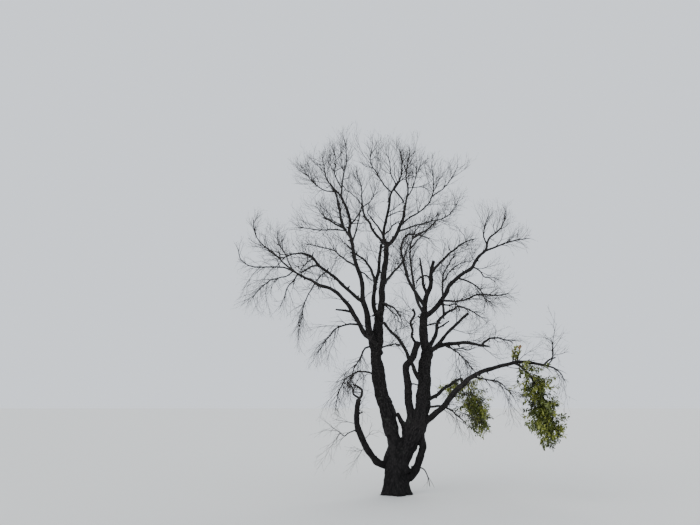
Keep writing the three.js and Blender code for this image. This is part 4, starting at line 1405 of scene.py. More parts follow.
@dataclass(frozen=True)
class BarkFinish(Finish):
    """Dark furrowed bark: near-black cracks, brown-grey plates with worn crests, and patches of lichen."""

    name: str = "furrowed_bark"
    roughness: float = 0.92
    gloss: float = 0.25
    bump: float = 0.55
    bump_depth: float = 0.006
    crack: Colour = (0.004, 0.0035, 0.0035)
    plate: Colour = (0.021, 0.019, 0.0195)
    crest: Colour = (0.06, 0.055, 0.054)
    lichen: Colour = (0.07, 0.076, 0.062)
    crest_shares: tuple[float, float, float] = (0, 0.09, 0.5)
    plate_scale: float = 1.6
    plate_randomness: float = 0.9
    grain: Noise = Noise(3.2, 5, 0.65)
    grain_span: tuple[float, float] = (0.3, 0.72)
    grain_dark: Colour = (0.45, 0.44, 0.43)
    grain_light: Colour = (1.4, 1.35, 1.3)
    patches: Noise = Noise(2.6, 6, 0.72)
    lichen_span: tuple[float, float] = (0.6, 0.72)
    lichen_cover: Colour = (0.7, 0.7, 0.7)

    def skin(self, nodes: Nodes, place: Socket) -> tuple[Socket, Socket]:
        """Lay out plates and furrows along the limb, and lichen by place.

        Args:
            nodes: the material's nodes.
            place: the place on the piece.

        Returns:
            The colour, and the grain as height.
        """
        along = nodes.add("ShaderNodeAttribute", attribute_name="bark").outputs["Vector"]
        furrow = nodes.add("ShaderNodeAttribute", attribute_name="furrow").outputs["Fac"]
        grain = nodes.noise(along, self.grain)
        settings = {"Scale": self.plate_scale, "Randomness": self.plate_randomness}
        scales = nodes.add("ShaderNodeTexVoronoi", feature="DISTANCE_TO_EDGE", **settings)
        nodes.join(along, scales.inputs["Vector"])
        stops = zip(self.crest_shares, (self.crack, self.plate, self.crest))
        plates = nodes.ramp(scales.outputs["Distance"], *stops)
        grained = nodes.two_tone(grain, self.grain_span, self.grain_dark, self.grain_light)
        colour = nodes.blend(plates, grained, how=Blend.MULTIPLY)
        colour = nodes.blend(colour, self.crack, furrow)
        patches = nodes.noise(place, self.patches)
        cover = nodes.two_tone(patches, self.lichen_span, (0, 0, 0), self.lichen_cover)
        colour = nodes.blend(colour, self.lichen, cover)
        # Painted shade: the bark darkens towards the ground.
        return nodes.shade_towards_ground(colour, place), grain


@dataclass(frozen=True)
class TwigFinish(Finish):
    """Smooth dark bark of young wood, greyer where it is old and browner at the tips."""

    name: str = "young_bark"
    roughness: float = 0.8
    gloss: float = 0.3
    bump: float = 0.4
    bump_depth: float = 0.002
    old: Colour = (0.02, 0.018, 0.017)
    young: Colour = (0.035, 0.026, 0.022)
    mottle: Noise = Noise(24, 4, 0.7)
    mottle_span: tuple[float, float] = (0.3, 0.7)
    mottle_dark: Colour = (0.5, 0.5, 0.5)
    mottle_light: Colour = (1.3, 1.3, 1.3)

    def skin(self, nodes: Nodes, place: Socket) -> tuple[Socket, Socket]:
        """Lay out the colour by age, with a mottle.

        Args:
            nodes: the material's nodes.
            place: the place on the piece.

        Returns:
            The colour, and the mottle as height.
        """
        age = nodes.add("ShaderNodeAttribute", attribute_name="age").outputs["Fac"]
        base = nodes.two_tone(age, (0, 1), self.young, self.old)
        mottle = nodes.noise(place, self.mottle)
        tone = nodes.two_tone(mottle, self.mottle_span, self.mottle_dark, self.mottle_light)
        colour = nodes.blend(base, tone, how=Blend.MULTIPLY)
        # Painted shade: the twigs darken towards the ground.
        return nodes.shade_towards_ground(colour, place), mottle


@dataclass(frozen=True)
class Seats:
    """Where shoots or leaves sit, in a spiral round each twig that bears them.

    `which` is the twig, `shares` the share of its length, and `sides` a way out from it.
    """

    which: Array
    shares: Array
    points: Array
    ways: Array
    radii: Array
    sides: Array


@dataclass
class Bundle:
    """Many twigs of one order: their points, the radius at each, how far each turns up, and their age.

    The age goes from 0 to 1.
    """

    points: Array
    radii: Array
    lifts: Array
    age: float

    def lengths(self) -> Array:
        """Return the length of each twig."""
        return np.linalg.norm(np.diff(self.points, axis=1), axis=2).sum(axis=1)

    def places(self, which: Array, shares: Array) -> tuple[Array, Array, Array]:
        """Find places on some twigs.

        Args:
            which: the twigs.
            shares: the share of its length on each.

        Returns:
            The points, directions and radii there.
        """
        steps = shares * (self.points.shape[1] - 1)
        i = np.minimum(steps.astype(int), self.points.shape[1] - 2)
        part = (steps - i)[:, None]
        start, end = self.points[which, i], self.points[which, i + 1]
        radii = self.radii[which, i] * (1 - part[:, 0]) + self.radii[which, i + 1] * part[:, 0]
        return start + (end - start) * part, unit(end - start), radii

    def seats(self, counts: Array, bare: float, spread: tuple[float, float],
              random: Random) -> Seats:
        """Deal out seats along the twigs, each a golden angle round from the last.

        Args:
            counts: how many sit on each twig.
            bare: the share of a twig at its foot that bears none.
            spread: how far chance moves a seat, as a share of the step to the next and in degrees.
            random: the random numbers.

        Returns:
            The seats.
        """
        which = np.repeat(np.arange(len(counts)), counts)
        order = np.arange(len(which)) - np.repeat(np.cumsum(counts) - counts, counts)
        shares = bare + (1 - bare) * (order + random.random(len(which)) * spread[0]) / counts[which]
        points, ways, radii = self.places(which, shares)
        turns = np.radians(GOLDEN_ANGLE * order + spread[1] * random.random(len(which))) + which
        return Seats(which, shares, points, ways, radii, spun(across(ways), ways, turns))

    def kept(self, wanted: Array) -> "Bundle":
        """Return only the wanted twigs."""
        return Bundle(self.points[wanted], self.radii[wanted], self.lifts[wanted], self.age)

    def thinned(self, cell: float, most: int) -> "Bundle":
        """Leave out twigs where they crowd each other.

        Args:
            cell: the side of the cubes that space is cut into.
            most: how many twigs may have their middle in one cube.

        Returns:
            The rest of the twigs.
        """
        cubes = np.floor(self.points[:, self.points.shape[1] // 2] / cell)
        _, cube_of, counts = np.unique(cubes, axis=0, return_inverse=True, return_counts=True)
        cube_of = cube_of.ravel()
        order = np.argsort(cube_of, kind="stable")
        places = np.empty(len(cubes), dtype=int)
        places[order] = np.arange(len(cubes)) - (np.cumsum(counts) - counts)[cube_of[order]]
        return self.kept(places < most)

    def buried(self, lines: list[Line]) -> Array:
        """Find the twigs that end inside one of some thick limbs.

        Args:
            lines: the limbs' curves.

        Returns:
            Whether each twig does.
        """
        tips = self.points[:, -1]
        inside = np.zeros(len(tips), dtype=bool)
        for line in lines:
            reach = line.radii.max()
            low, high = line.points.min(axis=0) - reach, line.points.max(axis=0) + reach
            some = np.flatnonzero(((tips > low) & (tips < high)).all(axis=1))
            if len(some):
                apart = np.linalg.norm(tips[some, None] - line.points[None], axis=2) - line.radii
                inside[some] |= apart.min(axis=1) < 0
        return inside


def together(bundles: list[Bundle]) -> Bundle:
    """Join bundles of the same order.

    Args:
        bundles: the bundles.

    Returns:
        One bundle, with the age of the first.
    """
    points = np.concatenate([bundle.points for bundle in bundles])
    radii = np.concatenate([bundle.radii for bundle in bundles])
    return Bundle(points, radii, np.concatenate([bundle.lifts for bundle in bundles]), bundles[0].age)


def spun(sides: Array, ways: Array, angles: Array) -> Array:
    """Return directions turned round the ways that they are square to, each by an angle in radians."""
    return sides * np.cos(angles)[:, None] + np.cross(ways, sides) * np.sin(angles)[:, None]


def bundle_of(lines: list[Line], lifts: list[float], count: int, age: float, least: float) -> Bundle:
    """Make a bundle of lines, with points at equal steps.

    Args:
        lines: the lines.
        lifts: how far each turns up.
        count: the points on each.
        age: their age.
        least: the least radius.

    Returns:
        The bundle.
    """
    steps = np.linspace(0, 1, count)
    points = [[np.interp(steps, line.shares, line.points[:, i]) for i in range(3)] for line in lines]
    radii = [np.interp(steps, line.shares, line.radii) for line in lines]
    return Bundle(np.array(points).transpose(0, 2, 1), np.maximum(radii, least), np.array(lifts), age)


@dataclass(frozen=True)
class Shoots:
    """How the twigs of one finer order grow on those that bear them."""

    spacing: float
    bare: float
    length: float
    shortening: float
    lean: float
    lean_spread: float
    rise: float
    crook: float
    foot: float
    thickest: float
    tip: float
    points: int
    age: float
    turn_spread: float = 40
    lift_at_foot: float = 0.3
    least_length: float = 0.55
    length_spread: float = 0.9
    longest: float = 0.8
    taper: float = 0.8

    def grow(self, bearers: Bundle, random: Random) -> Bundle:
        """Grow shoots on a bundle.

        Args:
            bearers: the twigs that bear them.
            random: the random numbers.

        Returns:
            The shoots.
        """
        lengths = bearers.lengths()
        counts = np.floor(lengths * (1 - self.bare) / self.spacing + random.random(len(lengths))).astype(int)
        seats = bearers.seats(counts, self.bare, (1, self.turn_spread), random)
        count = len(seats.which)
        lean = np.radians(self.lean + self.lean_spread * (random.random(count) - 0.5))[:, None]
        lifts = bearers.lifts[seats.which]
        lifted = np.outer(lifts * self.lift_at_foot, UP)
        heading = unit(seats.ways * np.cos(lean) + seats.sides * np.sin(lean) + lifted)
        length = self.length * (1 - self.shortening * seats.shares)
        length = length * (self.least_length + self.length_spread * random.random(count))
        length = np.minimum(length, lengths[seats.which] * self.longest)
        point = seats.points
        points = [point]
        step = (length / (self.points - 1))[:, None]
        for _ in range(self.points - 1):
            bend = random.normal(size=heading.shape) * self.crook + np.outer(lifts * self.rise, UP)
            heading = unit(heading + bend)
            point = point + heading * step
            points.append(point)
        foot = np.minimum(seats.radii * self.foot, self.thickest)
        taper = np.linspace(0, 1, self.points) ** self.taper
        radii = foot[:, None] + (np.minimum(self.tip, foot) - foot)[:, None] * taper
        return Bundle(np.stack(points, axis=1), radii, lifts, self.age)


def tubes(bundle: Bundle, sides: int) -> Part:
    """Return closed tapering tubes along the twigs of a bundle.

    Args:
        bundle: the twigs.
        sides: the sides of each tube.

    Returns:
        The places of the vertices, the corners of the faces in one row, and the corners of each face.
    """
    count, rings = bundle.points.shape[:2]
    rings -= 1
    ways = np.gradient(bundle.points, axis=1)
    side = across(unit(ways[:, 0]))
    angles = np.arange(sides) * (2 * math.pi / sides)
    places = np.empty((count, rings * sides + 1, 3))
    for k in range(rings):
        way = unit(ways[:, k])
        side = unit(side - way * (side * way).sum(axis=1)[:, None])
        other = np.cross(way, side)
        ring = side[:, None] * np.cos(angles)[:, None] + other[:, None] * np.sin(angles)[:, None]
        ring = bundle.points[:, k, None] + ring * bundle.radii[:, k, None, None]
        places[:, k * sides:(k + 1) * sides] = ring
    places[:, -1] = bundle.points[:, -1]
    near = np.arange(rings - 1)[:, None] * sides + np.arange(sides)
    far = np.arange(rings - 1)[:, None] * sides + (np.arange(sides) + 1) % sides
    walls = np.stack((near, far, far + sides, near + sides), axis=2).reshape(-1)
    last = (rings - 1) * sides
    ring = np.arange(sides)
    ends = np.stack((last + ring, last + (ring + 1) % sides, np.full(sides, rings * sides)))
    corners = np.concatenate((walls, ends.T.reshape(-1), np.arange(sides)[::-1]))
    sizes = np.repeat((QUAD, TRIANGLE, sides), ((rings - 1) * sides, sides, 1))
    starts = np.arange(count) * (rings * sides + 1)
    return places.reshape(-1, 3), (starts[:, None] + corners).reshape(-1), np.tile(sizes, count)


def joined_mesh(name: str, parts: list[Part]) -> Object:
    """Join parts into one object.

    Args:
        name: its name.
        parts: for each, its vertices, the corners of its faces in one row, and the corners of each face.

    Returns:
        The object.
    """
    firsts = np.cumsum([0] + [len(places) for places, _, _ in parts])
    places = np.concatenate([places for places, _, _ in parts])
    corners = np.concatenate([corners + first for (_, corners, _), first in zip(parts, firsts)])
    sizes = np.concatenate([sizes for _, _, sizes in parts])
    mesh = bpy.data.meshes.new(name)
    mesh.vertices.add(len(places))
    mesh.loops.add(len(corners))
    mesh.polygons.add(len(sizes))
    mesh.vertices.foreach_set("co", places.ravel())
    mesh.loops.foreach_set("vertex_index", corners.astype(np.int32))
    mesh.polygons.foreach_set("loop_start", (np.cumsum(sizes) - sizes).astype(np.int32))
    mesh.update(calc_edges=True)
    mesh.validate()
    piece = bpy.data.objects.new(name, mesh)
    bpy.context.scene.collection.objects.link(piece)
    return piece


SIDE_LIMBS = Shoots(
    spacing=0.36, bare=0.4, length=1.2, shortening=0.45, lean=50, lean_spread=30, rise=0.07, crook=0.1,
    foot=0.4, thickest=0.014, tip=0.0045, points=13, age=0.9,
)
MEDIUM = Shoots(
    spacing=0.28, bare=0.28, length=1.25, shortening=0.6, lean=32, lean_spread=22, rise=0.07, crook=0.06,
    foot=0.6, thickest=0.013, tip=0.004, points=13, age=0.7,
)
FINE = Shoots(
    spacing=0.11, bare=0.28, length=0.78, shortening=0.45, lean=33, lean_spread=22, rise=0.09, crook=0.05,
    foot=0.75, thickest=0.0085, tip=0.003, points=8, age=0.5,
)
FINEST = replace(
    FINE, bare=0.2, length=0.38, shortening=0.4, lean=36, lean_spread=24, rise=0.12, crook=0.06,
    thickest=0.0048, tip=0.002, points=5, age=0.1,
)
FINE_SIDES = 3


@dataclass
class TwigCrown:
    """The bare twigs of one side of the crown: leaders, their twigs, and the finer shoots on those."""

    name: str
    masses: tuple[str, ...]
    boughs: tuple[str, ...]
    branches: tuple[str, ...]
    leader_points: int = 22
    twig_points: int = 9
    leader_sides: int = 7
    twig_sides: int = 5
    leader_age: float = 1.0
    twig_age: float = 0.8
    bough_points: int = 40
    inset: float = 0.015
    ground_clear: float = 0.12
    least: float = 0.0024
    low: float = 2.5
    high: float = 5.5
    droop: float = -0.4
    lift: float = 0.55
    cell: float = 0.3
    most_medium: int = 2
    most_fine: int = 7
    most_finest: int = 14
    stout: float = 1.0
    highest: float = math.inf
    past_masses: float = 0.3
    past_boughs: float = 0.8

    def build(self, curves: Curves, finish: TwigFinish) -> None:
        """Build the piece.

        Args:
            curves: the tree's curves.
            finish: the young bark.
        """
        random = np.random.default_rng(SeededRandom(self.name).state)
        rows = [row for row in (*MASSES, *LEAFY_MASSES) if row.name in self.masses]
        bearers = self.bearers(curves, rows)
        wood = [curves.of(line, OLD_WOOD) for line in curves.skeleton.axes.values()]
        medium = self.within(MEDIUM.grow(bearers[0], random), wood)
        bearers.append(medium.thinned(self.cell, self.most_medium))
        bearers.append(self.within(SIDE_LIMBS.grow(self.bough_bundle(curves), random), wood))
        fine = together([self.within(FINE.grow(bundle, random), wood) for bundle in bearers])
        fine = fine.thinned(self.cell, self.most_fine)
        finest = self.within(FINEST.grow(fine, random), wood).thinned(self.cell, self.most_finest)
        self.join(bearers, [fine, finest], finish)

    def join(self, bearers: list[Bundle], shoots: list[Bundle], finish: TwigFinish) -> None:
        """Join twigs into the piece.

        Args:
            bearers: the leaders, and the thicker twigs.
            shoots: the fine twigs.
            finish: the young bark.
        """
        sides = (self.leader_sides, *(self.twig_sides,) * (len(bearers) - 1), *(FINE_SIDES,) * len(shoots))
        parts = [tubes(bundle, count) for bundle, count in zip((*bearers, *shoots), sides)]
        ages = [np.full(len(part[0]), bundle.age) for part, bundle in zip(parts, (*bearers, *shoots))]
        piece = joined_mesh(self.name, parts)
        give(piece.data, "age", np.concatenate(ages))
        hand_in(piece, [finish], self.masses)

    def bearers(self, curves: Curves, rows: list[Mass]) -> list[Bundle]:
        """Gather the leaders and branches, and the twigs, of some masses.

        Args:
            curves: the tree's curves.
            rows: the masses.

        Returns:
            The leaders and branches as one bundle, and the twigs as another.
        """
        bundles = []
        orders = (
            (curves.skeleton.leaders, self.leader_points, self.leader_age),
            (curves.skeleton.twigs, self.twig_points, self.twig_age),
        )
        for lines_of, count, age in orders:
            lines = [curves.of(line, YOUNG_WOOD) for row in rows for line in lines_of[row.name]]
            lifts = [row.lift for row in rows for _ in lines_of[row.name]]
            if not bundles:
                more = [curves.of(curves.skeleton.extras[name], YOUNG_WOOD) for name in self.branches]
                lines, lifts = lines + more, lifts + self.lifts_of(more)
            bundles.append(bundle_of(lines, lifts, count, age, self.least))
        bundles[0].radii *= self.stout
        return bundles

    def lifts_of(self, lines: list[Line]) -> list[float]:
        """Return how far shoots turn up: they hang where a line is low and rise where it is high."""
        heights = [line.points[:, 2].mean() for line in lines]
        return list(np.interp(heights, (self.low, self.high), (self.droop, self.lift)))

    def bough_bundle(self, curves: Curves) -> Bundle:
        """Return the boughs that bear side limbs here."""
        lines = [curves.of(curves.skeleton.axes[name], OLD_WOOD) for name in self.boughs]
        return bundle_of(lines, self.lifts_of(lines), self.bough_points, self.leader_age, self.least)

    def within(self, bundle: Bundle, wood: list[Line]) -> Bundle:
        """Keep the shoots that stay in reach.

        They stay within the solids' box, above the ground and outside the old wood, and end near one of the
        masses that the piece stands for or of the boughs that bear it.

        Args:
            bundle: the shoots.
            wood: the curves of the old wood.

        Returns:
            The shoots that do.
        """
        low, high = np.array(CAD_BOX[0]), np.array(CAD_BOX[1])
        low, high = low + (high - low) * self.inset, high - (high - low) * self.inset
        low[2] = self.ground_clear
        high[2] = min(high[2], self.highest)
        inside = ((bundle.points > low) & (bundle.points < high)).all(axis=(1, 2))
        reached = np.zeros(len(inside), dtype=bool)
        for names, past in ((self.masses, self.past_masses), (self.boughs, self.past_boughs)):
            for name in names:
                low, high = np.array(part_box(name)) + ((-past,), (past,))
                reached |= ((bundle.points[:, -1] > low) & (bundle.points[:, -1] < high)).all(axis=1)
        return bundle.kept(inside & reached & ~bundle.buried(wood))


class Tint(Enum):
    """The tints of leaves, dealt out by shoot, each with a deeper colour and its fresh colour.

    The palest and the sunlit tints are painted sunlight, and the darkest is painted shade; the rest are the
    leaves' own.
    """

    # Painted highlight: the palest tint stands for leaves that catch full sun.
    PAINTED_SUN_HIGHLIGHT = ((0.3, 0.34, 0.09), (0.4, 0.43, 0.13))
    # Painted sunlight: this tint stands for leaves in the sun.
    SUNLIT = ((0.18, 0.2, 0.04), (0.25, 0.275, 0.05))
    GREEN = ((0.085, 0.105, 0.022), (0.13, 0.155, 0.03))
    OLIVE = ((0.05, 0.062, 0.015), (0.075, 0.09, 0.02))
    # Painted shade: the darkest tint stands for leaves in shade.
    DARK = ((0.02, 0.028, 0.008), (0.032, 0.042, 0.012))
    RUSSET = ((0.2, 0.11, 0.04), (0.3, 0.15, 0.06))


@dataclass(frozen=True)
class LeafFinish(Finish):
    """A leaf's skin in one tint, a little uneven from place to place, with a soft gloss."""

    roughness: float = 0.5
    gloss: float = 0.35
    bump: float = 0.2
    bump_depth: float = 0.003
    tint: Tint = Tint.GREEN
    mottle: Noise = Noise(9, 3, 0.6)
    mottle_span: tuple[float, float] = (0.35, 0.65)

    def skin(self, nodes: Nodes, place: Socket) -> tuple[Socket, Socket]:
        """Return the tint's two colours in a mottle, and the mottle as height."""
        mottle = nodes.noise(place, self.mottle)
        return nodes.two_tone(mottle, self.mottle_span, *self.tint.value), mottle


# A leaf's outline, as shares of its length and half its width, and then its midrib, with the faces between.
LEAF_OUTLINE = ((0, 0), (0.3, 0.85), (0.68, 1), (1, 0), (0.68, -1), (0.3, -0.85), (0.3, 0), (0.68, 0))
LEAF_FACES = ((0, 6, 1), (1, 6, 7, 2), (2, 7, 3), (3, 7, 4), (4, 7, 6, 5), (5, 6, 0))
LEAFY = Shoots(
    spacing=0.06, bare=0.06, length=0.7, shortening=0.35, lean=62, lean_spread=40, rise=-0.05, crook=0.1,
    foot=0.7, thickest=0.005, tip=0.0018, points=8, age=0.3,
)
SPROUTING = replace(
    LEAFY, spacing=0.035, bare=0, length=0.11, shortening=0.2, lean=22, lean_spread=14, rise=0.1, crook=0.05,
)


@dataclass
class LeafyMass:
    """One leafy mass: its leaders and twigs, leafy shoots on them, and oblong leaves on the shoots."""

    mass: str
    shoots: str
    leaves: str
    tints: tuple[tuple[Tint, float], ...]
    lowest: float
    hang: float
    bough: str = ""
    bough_span: tuple[float, float] = (0.6, 1.0)
    bough_density: float = 3
    habit: Shoots = LEAFY
    hem: float = 0.45
    forward: float = 0.8
    spacing: float = 0.018
    bare: float = 0.1
    length: float = 0.098
    width: float = 0.44
    fold: float = 0.3
    droop: float = 0.22
    stalk: float = 0.012
    scatter: float = 0.4
    place_spread: float = 0.6
    turn_spread: float = 50
    tilt: float = 1.6
    least_length: float = 0.65
    length_spread: float = 0.7
    spray_stretch: float = 1.25
    spray_sag: float = 0.25
    bough_points: int = 40

    def build(self, curves: Curves, finish: TwigFinish) -> None:
        """Build the shoots and the leaves.

        Args:
            curves: the tree's curves.
            finish: the young bark.
        """
        random = np.random.default_rng(SeededRandom(self.mass).state)
        rows = [row for row in LEAFY_MASSES if row.name == self.mass]
        crown = TwigCrown(self.shoots, (self.mass,), (), (), ground_clear=self.lowest, past_masses=1.0)
        bearers = self.bearers(curves, crown.bearers(curves, rows))
        wood = [curves.of(line, OLD_WOOD) for line in curves.skeleton.axes.values()]
        shoots = [self.habit.grow(bundle, random) for bundle in bearers]
        shoots += self.more_shoots(curves, rows[0].lift, random)
        shoots = [self.within_hem(crown.within(bundle, wood), bearers[0].points[0, -1]) for bundle in shoots]
        crown.join(bearers, shoots, finish)
        self.build_leaves(shoots, random)

    def bearers(self, curves: Curves, bundles: list[Bundle]) -> list[Bundle]:
        """Return the leader and the twigs that bear the leafy shoots, which are those of the solids."""
        return bundles

    def more_shoots(self, curves: Curves, lift: float, random: Random) -> list[Bundle]:
        """Grow the shoots that don't stand on the leader and its twigs.

        Args:
            curves: the tree's curves.
            lift: how far the mass's twigs turn up.
            random: the random numbers.

        Returns:
            The shoots of the solids' sprays, and those that fall from the bough.
        """
        shoots = [self.set_sprays(curves.skeleton.sprays[self.mass], lift)]
        if self.bough:
            habit = replace(self.habit, spacing=self.habit.spacing / self.bough_density)
            bundle = habit.grow(self.bough_stretch(curves, lift), random)
            shoots.append(bundle.kept(bundle.points[:, -1, 2] < bundle.points[:, 0, 2]))
        return shoots

    def within_hem(self, bundle: Bundle, end: Array) -> Bundle:
        """Return the shoots above the mass's lower edge, which rises from below its leader's end."""
        aside = np.linalg.norm(bundle.points[:, :, :2] - end[:2], axis=2)
        return bundle.kept((bundle.points[:, :, 2] > self.lowest + self.hem * aside).all(axis=1))

    def bough_stretch(self, curves: Curves, lift: float) -> Bundle:
        """Find the stretch of the bough that bears leafy shoots too.

        Args:
            curves: the tree's curves.
            lift: how far the mass's twigs turn up.

        Returns:
            The stretch.
        """
        line = curves.of(curves.skeleton.axes[self.bough], OLD_WOOD)
        outer = bundle_of([line], [lift], self.bough_points, age=1, least=0)
        first, last = (round(share * self.bough_points) for share in self.bough_span)
        return Bundle(outer.points[:, first:last], outer.radii[:, first:last], outer.lifts, outer.age)

    def set_sprays(self, sprays: list[Spray], lift: float) -> Bundle:
        """Make the shoots of the sprays that the solids show.

        Args:
            sprays: the sprays.
            lift: how far the mass's twigs turn up.

        Returns:
            The shoots.
        """
        steps = np.linspace(0, 1, LEAFY.points)
        sag = np.outer(steps**2, UP) * self.spray_sag
        points = np.array([
            spray.root + spray.length * self.spray_stretch * (np.outer(steps, spray.way) - sag)
            for spray in sprays
        ])
        foot = np.minimum(np.array([spray.radius for spray in sprays]) * LEAFY.foot, LEAFY.thickest)
        radii = foot[:, None] + (LEAFY.tip - foot)[:, None] * steps
        return Bundle(points, np.maximum(radii, LEAFY.tip), np.full(len(sprays), lift), LEAFY.age)

    def build_leaves(self, shoots: list[Bundle], random: Random) -> None:
        """Build the leaves, with one tint for all on a shoot.

        Args:
            shoots: the leafy shoots.
            random: the random numbers.
        """
        chances = np.array([chance for _, chance in self.tints])
        parts, kinds = [], []
        for bundle in shoots:
            counts = np.floor(bundle.lengths() * (1 - self.bare) / self.spacing).astype(int) + 1
            seats = bundle.seats(counts, self.bare, (self.place_spread, self.turn_spread), random)
            count = len(seats.which)
            scatter = random.normal(size=seats.ways.shape) * self.scatter
            ways = unit(seats.sides + seats.ways * self.forward - UP * self.hang + scatter)
            flats = spun(across(ways), ways, (random.random(count) - 0.5) * self.tilt)
            sizes = self.length * (self.least_length + self.length_spread * random.random(count))
            parts.append(self.outlines(seats.points, ways, flats, sizes))
            dealt = random.choice(len(self.tints), size=len(counts), p=chances / chances.sum())
            kinds.append(np.repeat(dealt[seats.which], len(LEAF_FACES)))
        piece = joined_mesh(self.leaves, parts)
        piece.data.polygons.foreach_set("material_index", np.concatenate(kinds).astype(np.int32))
        finishes = [LeafFinish(f"leaf_{tint.name.lower()}", tint=tint) for tint, _ in self.tints]
        hand_in(piece, finishes, (self.mass,))

    def outlines(self, feet: Array, ways: Array, flats: Array, sizes: Array) -> Part:
        """Return folded, drooping leaves of eight triangles each.

        Args:
            feet: where each leaf starts.
            ways: the way that each points.
            flats: the way across each.
            sizes: the length of each.

        Returns:
            The vertices, the corners of the faces in one row, and the corners of each face.
        """
        backs = np.cross(ways, flats)
        backs = np.where(backs[:, 2:] < 0, -backs, backs)
        places = np.empty((len(feet), len(LEAF_OUTLINE), 3))
        for i, (along, aside) in enumerate(LEAF_OUTLINE):
            over = aside * self.width / 2
            rise = abs(over) * self.fold - self.droop * along**2
            offset = ways * along + flats * over + backs * rise
            places[:, i] = feet + ways * self.stalk + offset * sizes[:, None]
        corners = np.array([corner for face in LEAF_FACES for corner in face])
        leaf_sizes = np.array([len(face) for face in LEAF_FACES])
        starts = np.arange(len(feet)) * len(LEAF_OUTLINE)
        return places.reshape(-1, 3), (starts[:, None] + corners).reshape(-1), np.tile(leaf_sizes, len(feet))


@dataclass
class Sprouts(LeafyMass):
    """A few upright sprigs that stand on a bough, with leaves close to them."""

    stands_on: str = "right_low_reach"
    sprigs: tuple[tuple[float, float], ...] = ((0.595, 1.05), (0.63, 0.4), (0.665, 0.95))
    leader_share: float = 0.7
    steps: int = 100

    def bearers(self, curves: Curves, bundles: list[Bundle]) -> list[Bundle]:
        """Set sprigs in the shape of the lower part of the leader, at some shares of the bough.

        Args:
            curves: the tree's curves.
            bundles: the leader and the twigs of the solids.

        Returns:
            The sprigs.
        """
        leader = bundles[0]
        count = round(self.leader_share * leader.points.shape[1])
        shape = leader.points[:, :count] - leader.points[:, :1]
        line = curves.of(curves.skeleton.axes[self.stands_on], OLD_WOOD)
        feet = bundle_of([line], [0], self.steps + 1, age=1, least=0).points[0]
        points = [feet[round(share * self.steps)] + shape * size for share, size in self.sprigs]
        radii = np.repeat(leader.radii[:, :count], len(self.sprigs), axis=0)
        return [Bundle(np.concatenate(points), radii, leader.lifts.repeat(len(self.sprigs)), leader.age)]

    def more_shoots(self, curves: Curves, lift: float, random: Random) -> list[Bundle]:
        """Return no more shoots, because the sprigs take their place."""
        return []


@dataclass(frozen=True)
class Lamp:
    """A broad soft light: the side that it shines from, how wide it looks in degrees, and its strength."""

    name: str
    place: Place
    breadth: float
    strength: float

    def build(self, target: Vector) -> None:
        """Add the light.

        Args:
            target: what it shines on.
        """
        light = bpy.data.lights.new(self.name, "SUN")
        light.angle = math.radians(self.breadth)
        light.energy = self.strength
        lamp = bpy.data.objects.new(self.name, light)
        lamp.location = self.place
        lamp.rotation_euler = (target - Vector(self.place)).to_track_quat("-Z", "Y").to_euler()
        bpy.context.scene.collection.objects.link(lamp)


@dataclass(frozen=True)
class Studio:
    """A pale floor, a pale room, soft lamps and the camera at the photograph's viewing angle."""

    lamps: tuple[Lamp, ...] = (
        Lamp("key_lamp", (-26, -24, 34), 50, 1.2),
        Lamp("back_lamp", (14, 34, 30), 50, 1.3),
    )
    crown_middle: float = 6

    camera_place: Place = (-1.428, -19.93, 2.85)
    pitch: float = 12.78
    lens: float = 31.17
    sensor: float = 36
    floor_size: float = 400
    floor_tint: Colour = (0.62, 0.62, 0.6)
    floor_roughness: float = 0.9
    room_tint: Colour = (0.8, 0.85, 0.92)
    room_strength: float = 1.3

    def build(self) -> None:
        """Build the floor, light the room and set the camera."""
        self.floor()
        self.room()
        for lamp in self.lamps:
            lamp.build(Vector((0, 0, self.crown_middle)))
        self.camera()

    def floor(self) -> None:
        """Build the plain pale floor."""
        deselect()
        bpy.ops.mesh.primitive_plane_add(size=self.floor_size)
        floor = bpy.context.object
        floor.name = "floor"
        material = new_material("floor_finish")
        shader = material.node_tree.nodes["Principled BSDF"]
        shader.inputs["Base Color"].default_value = (*self.floor_tint, 1)
        shader.inputs["Roughness"].default_value = self.floor_roughness
        floor.data.materials.append(material)

    def room(self) -> None:
        """Give the room its pale, even light."""
        world = bpy.data.worlds.new("pale_room")
        world.use_nodes = True
        background = world.node_tree.nodes["Background"]
        background.inputs["Color"].default_value = (*self.room_tint, 1)
        background.inputs["Strength"].default_value = self.room_strength
        bpy.context.scene.world = world

    def camera(self) -> None:
        """Set the camera where the photograph was taken from."""
        data = bpy.data.cameras.new("camera")
        data.sensor_width = self.sensor
        data.lens = self.lens
        camera = bpy.data.objects.new("camera", data)
        camera.location = self.camera_place
        camera.rotation_euler = (math.radians(90 + self.pitch), 0, 0)
        bpy.context.scene.collection.objects.link(camera)
        bpy.context.scene.camera = camera


def deselect() -> None:
    """Deselect every object."""
    for chosen in list(bpy.context.selected_objects):
        chosen.select_set(False)


def select(chosen: list[Object]) -> None:
    """Select only some objects, and make the first of them active.

    Args:
        chosen: the objects.
    """
    deselect()
    for piece in chosen:
        piece.select_set(True)
    bpy.context.view_layer.objects.active = chosen[0]


def new_material(name: str) -> Material:
    """Make a material with its own nodes.

    Args:
        name: its name.

    Returns:
        The material.
    """
    material = bpy.data.materials.new(name)
    material.use_nodes = True
    return material


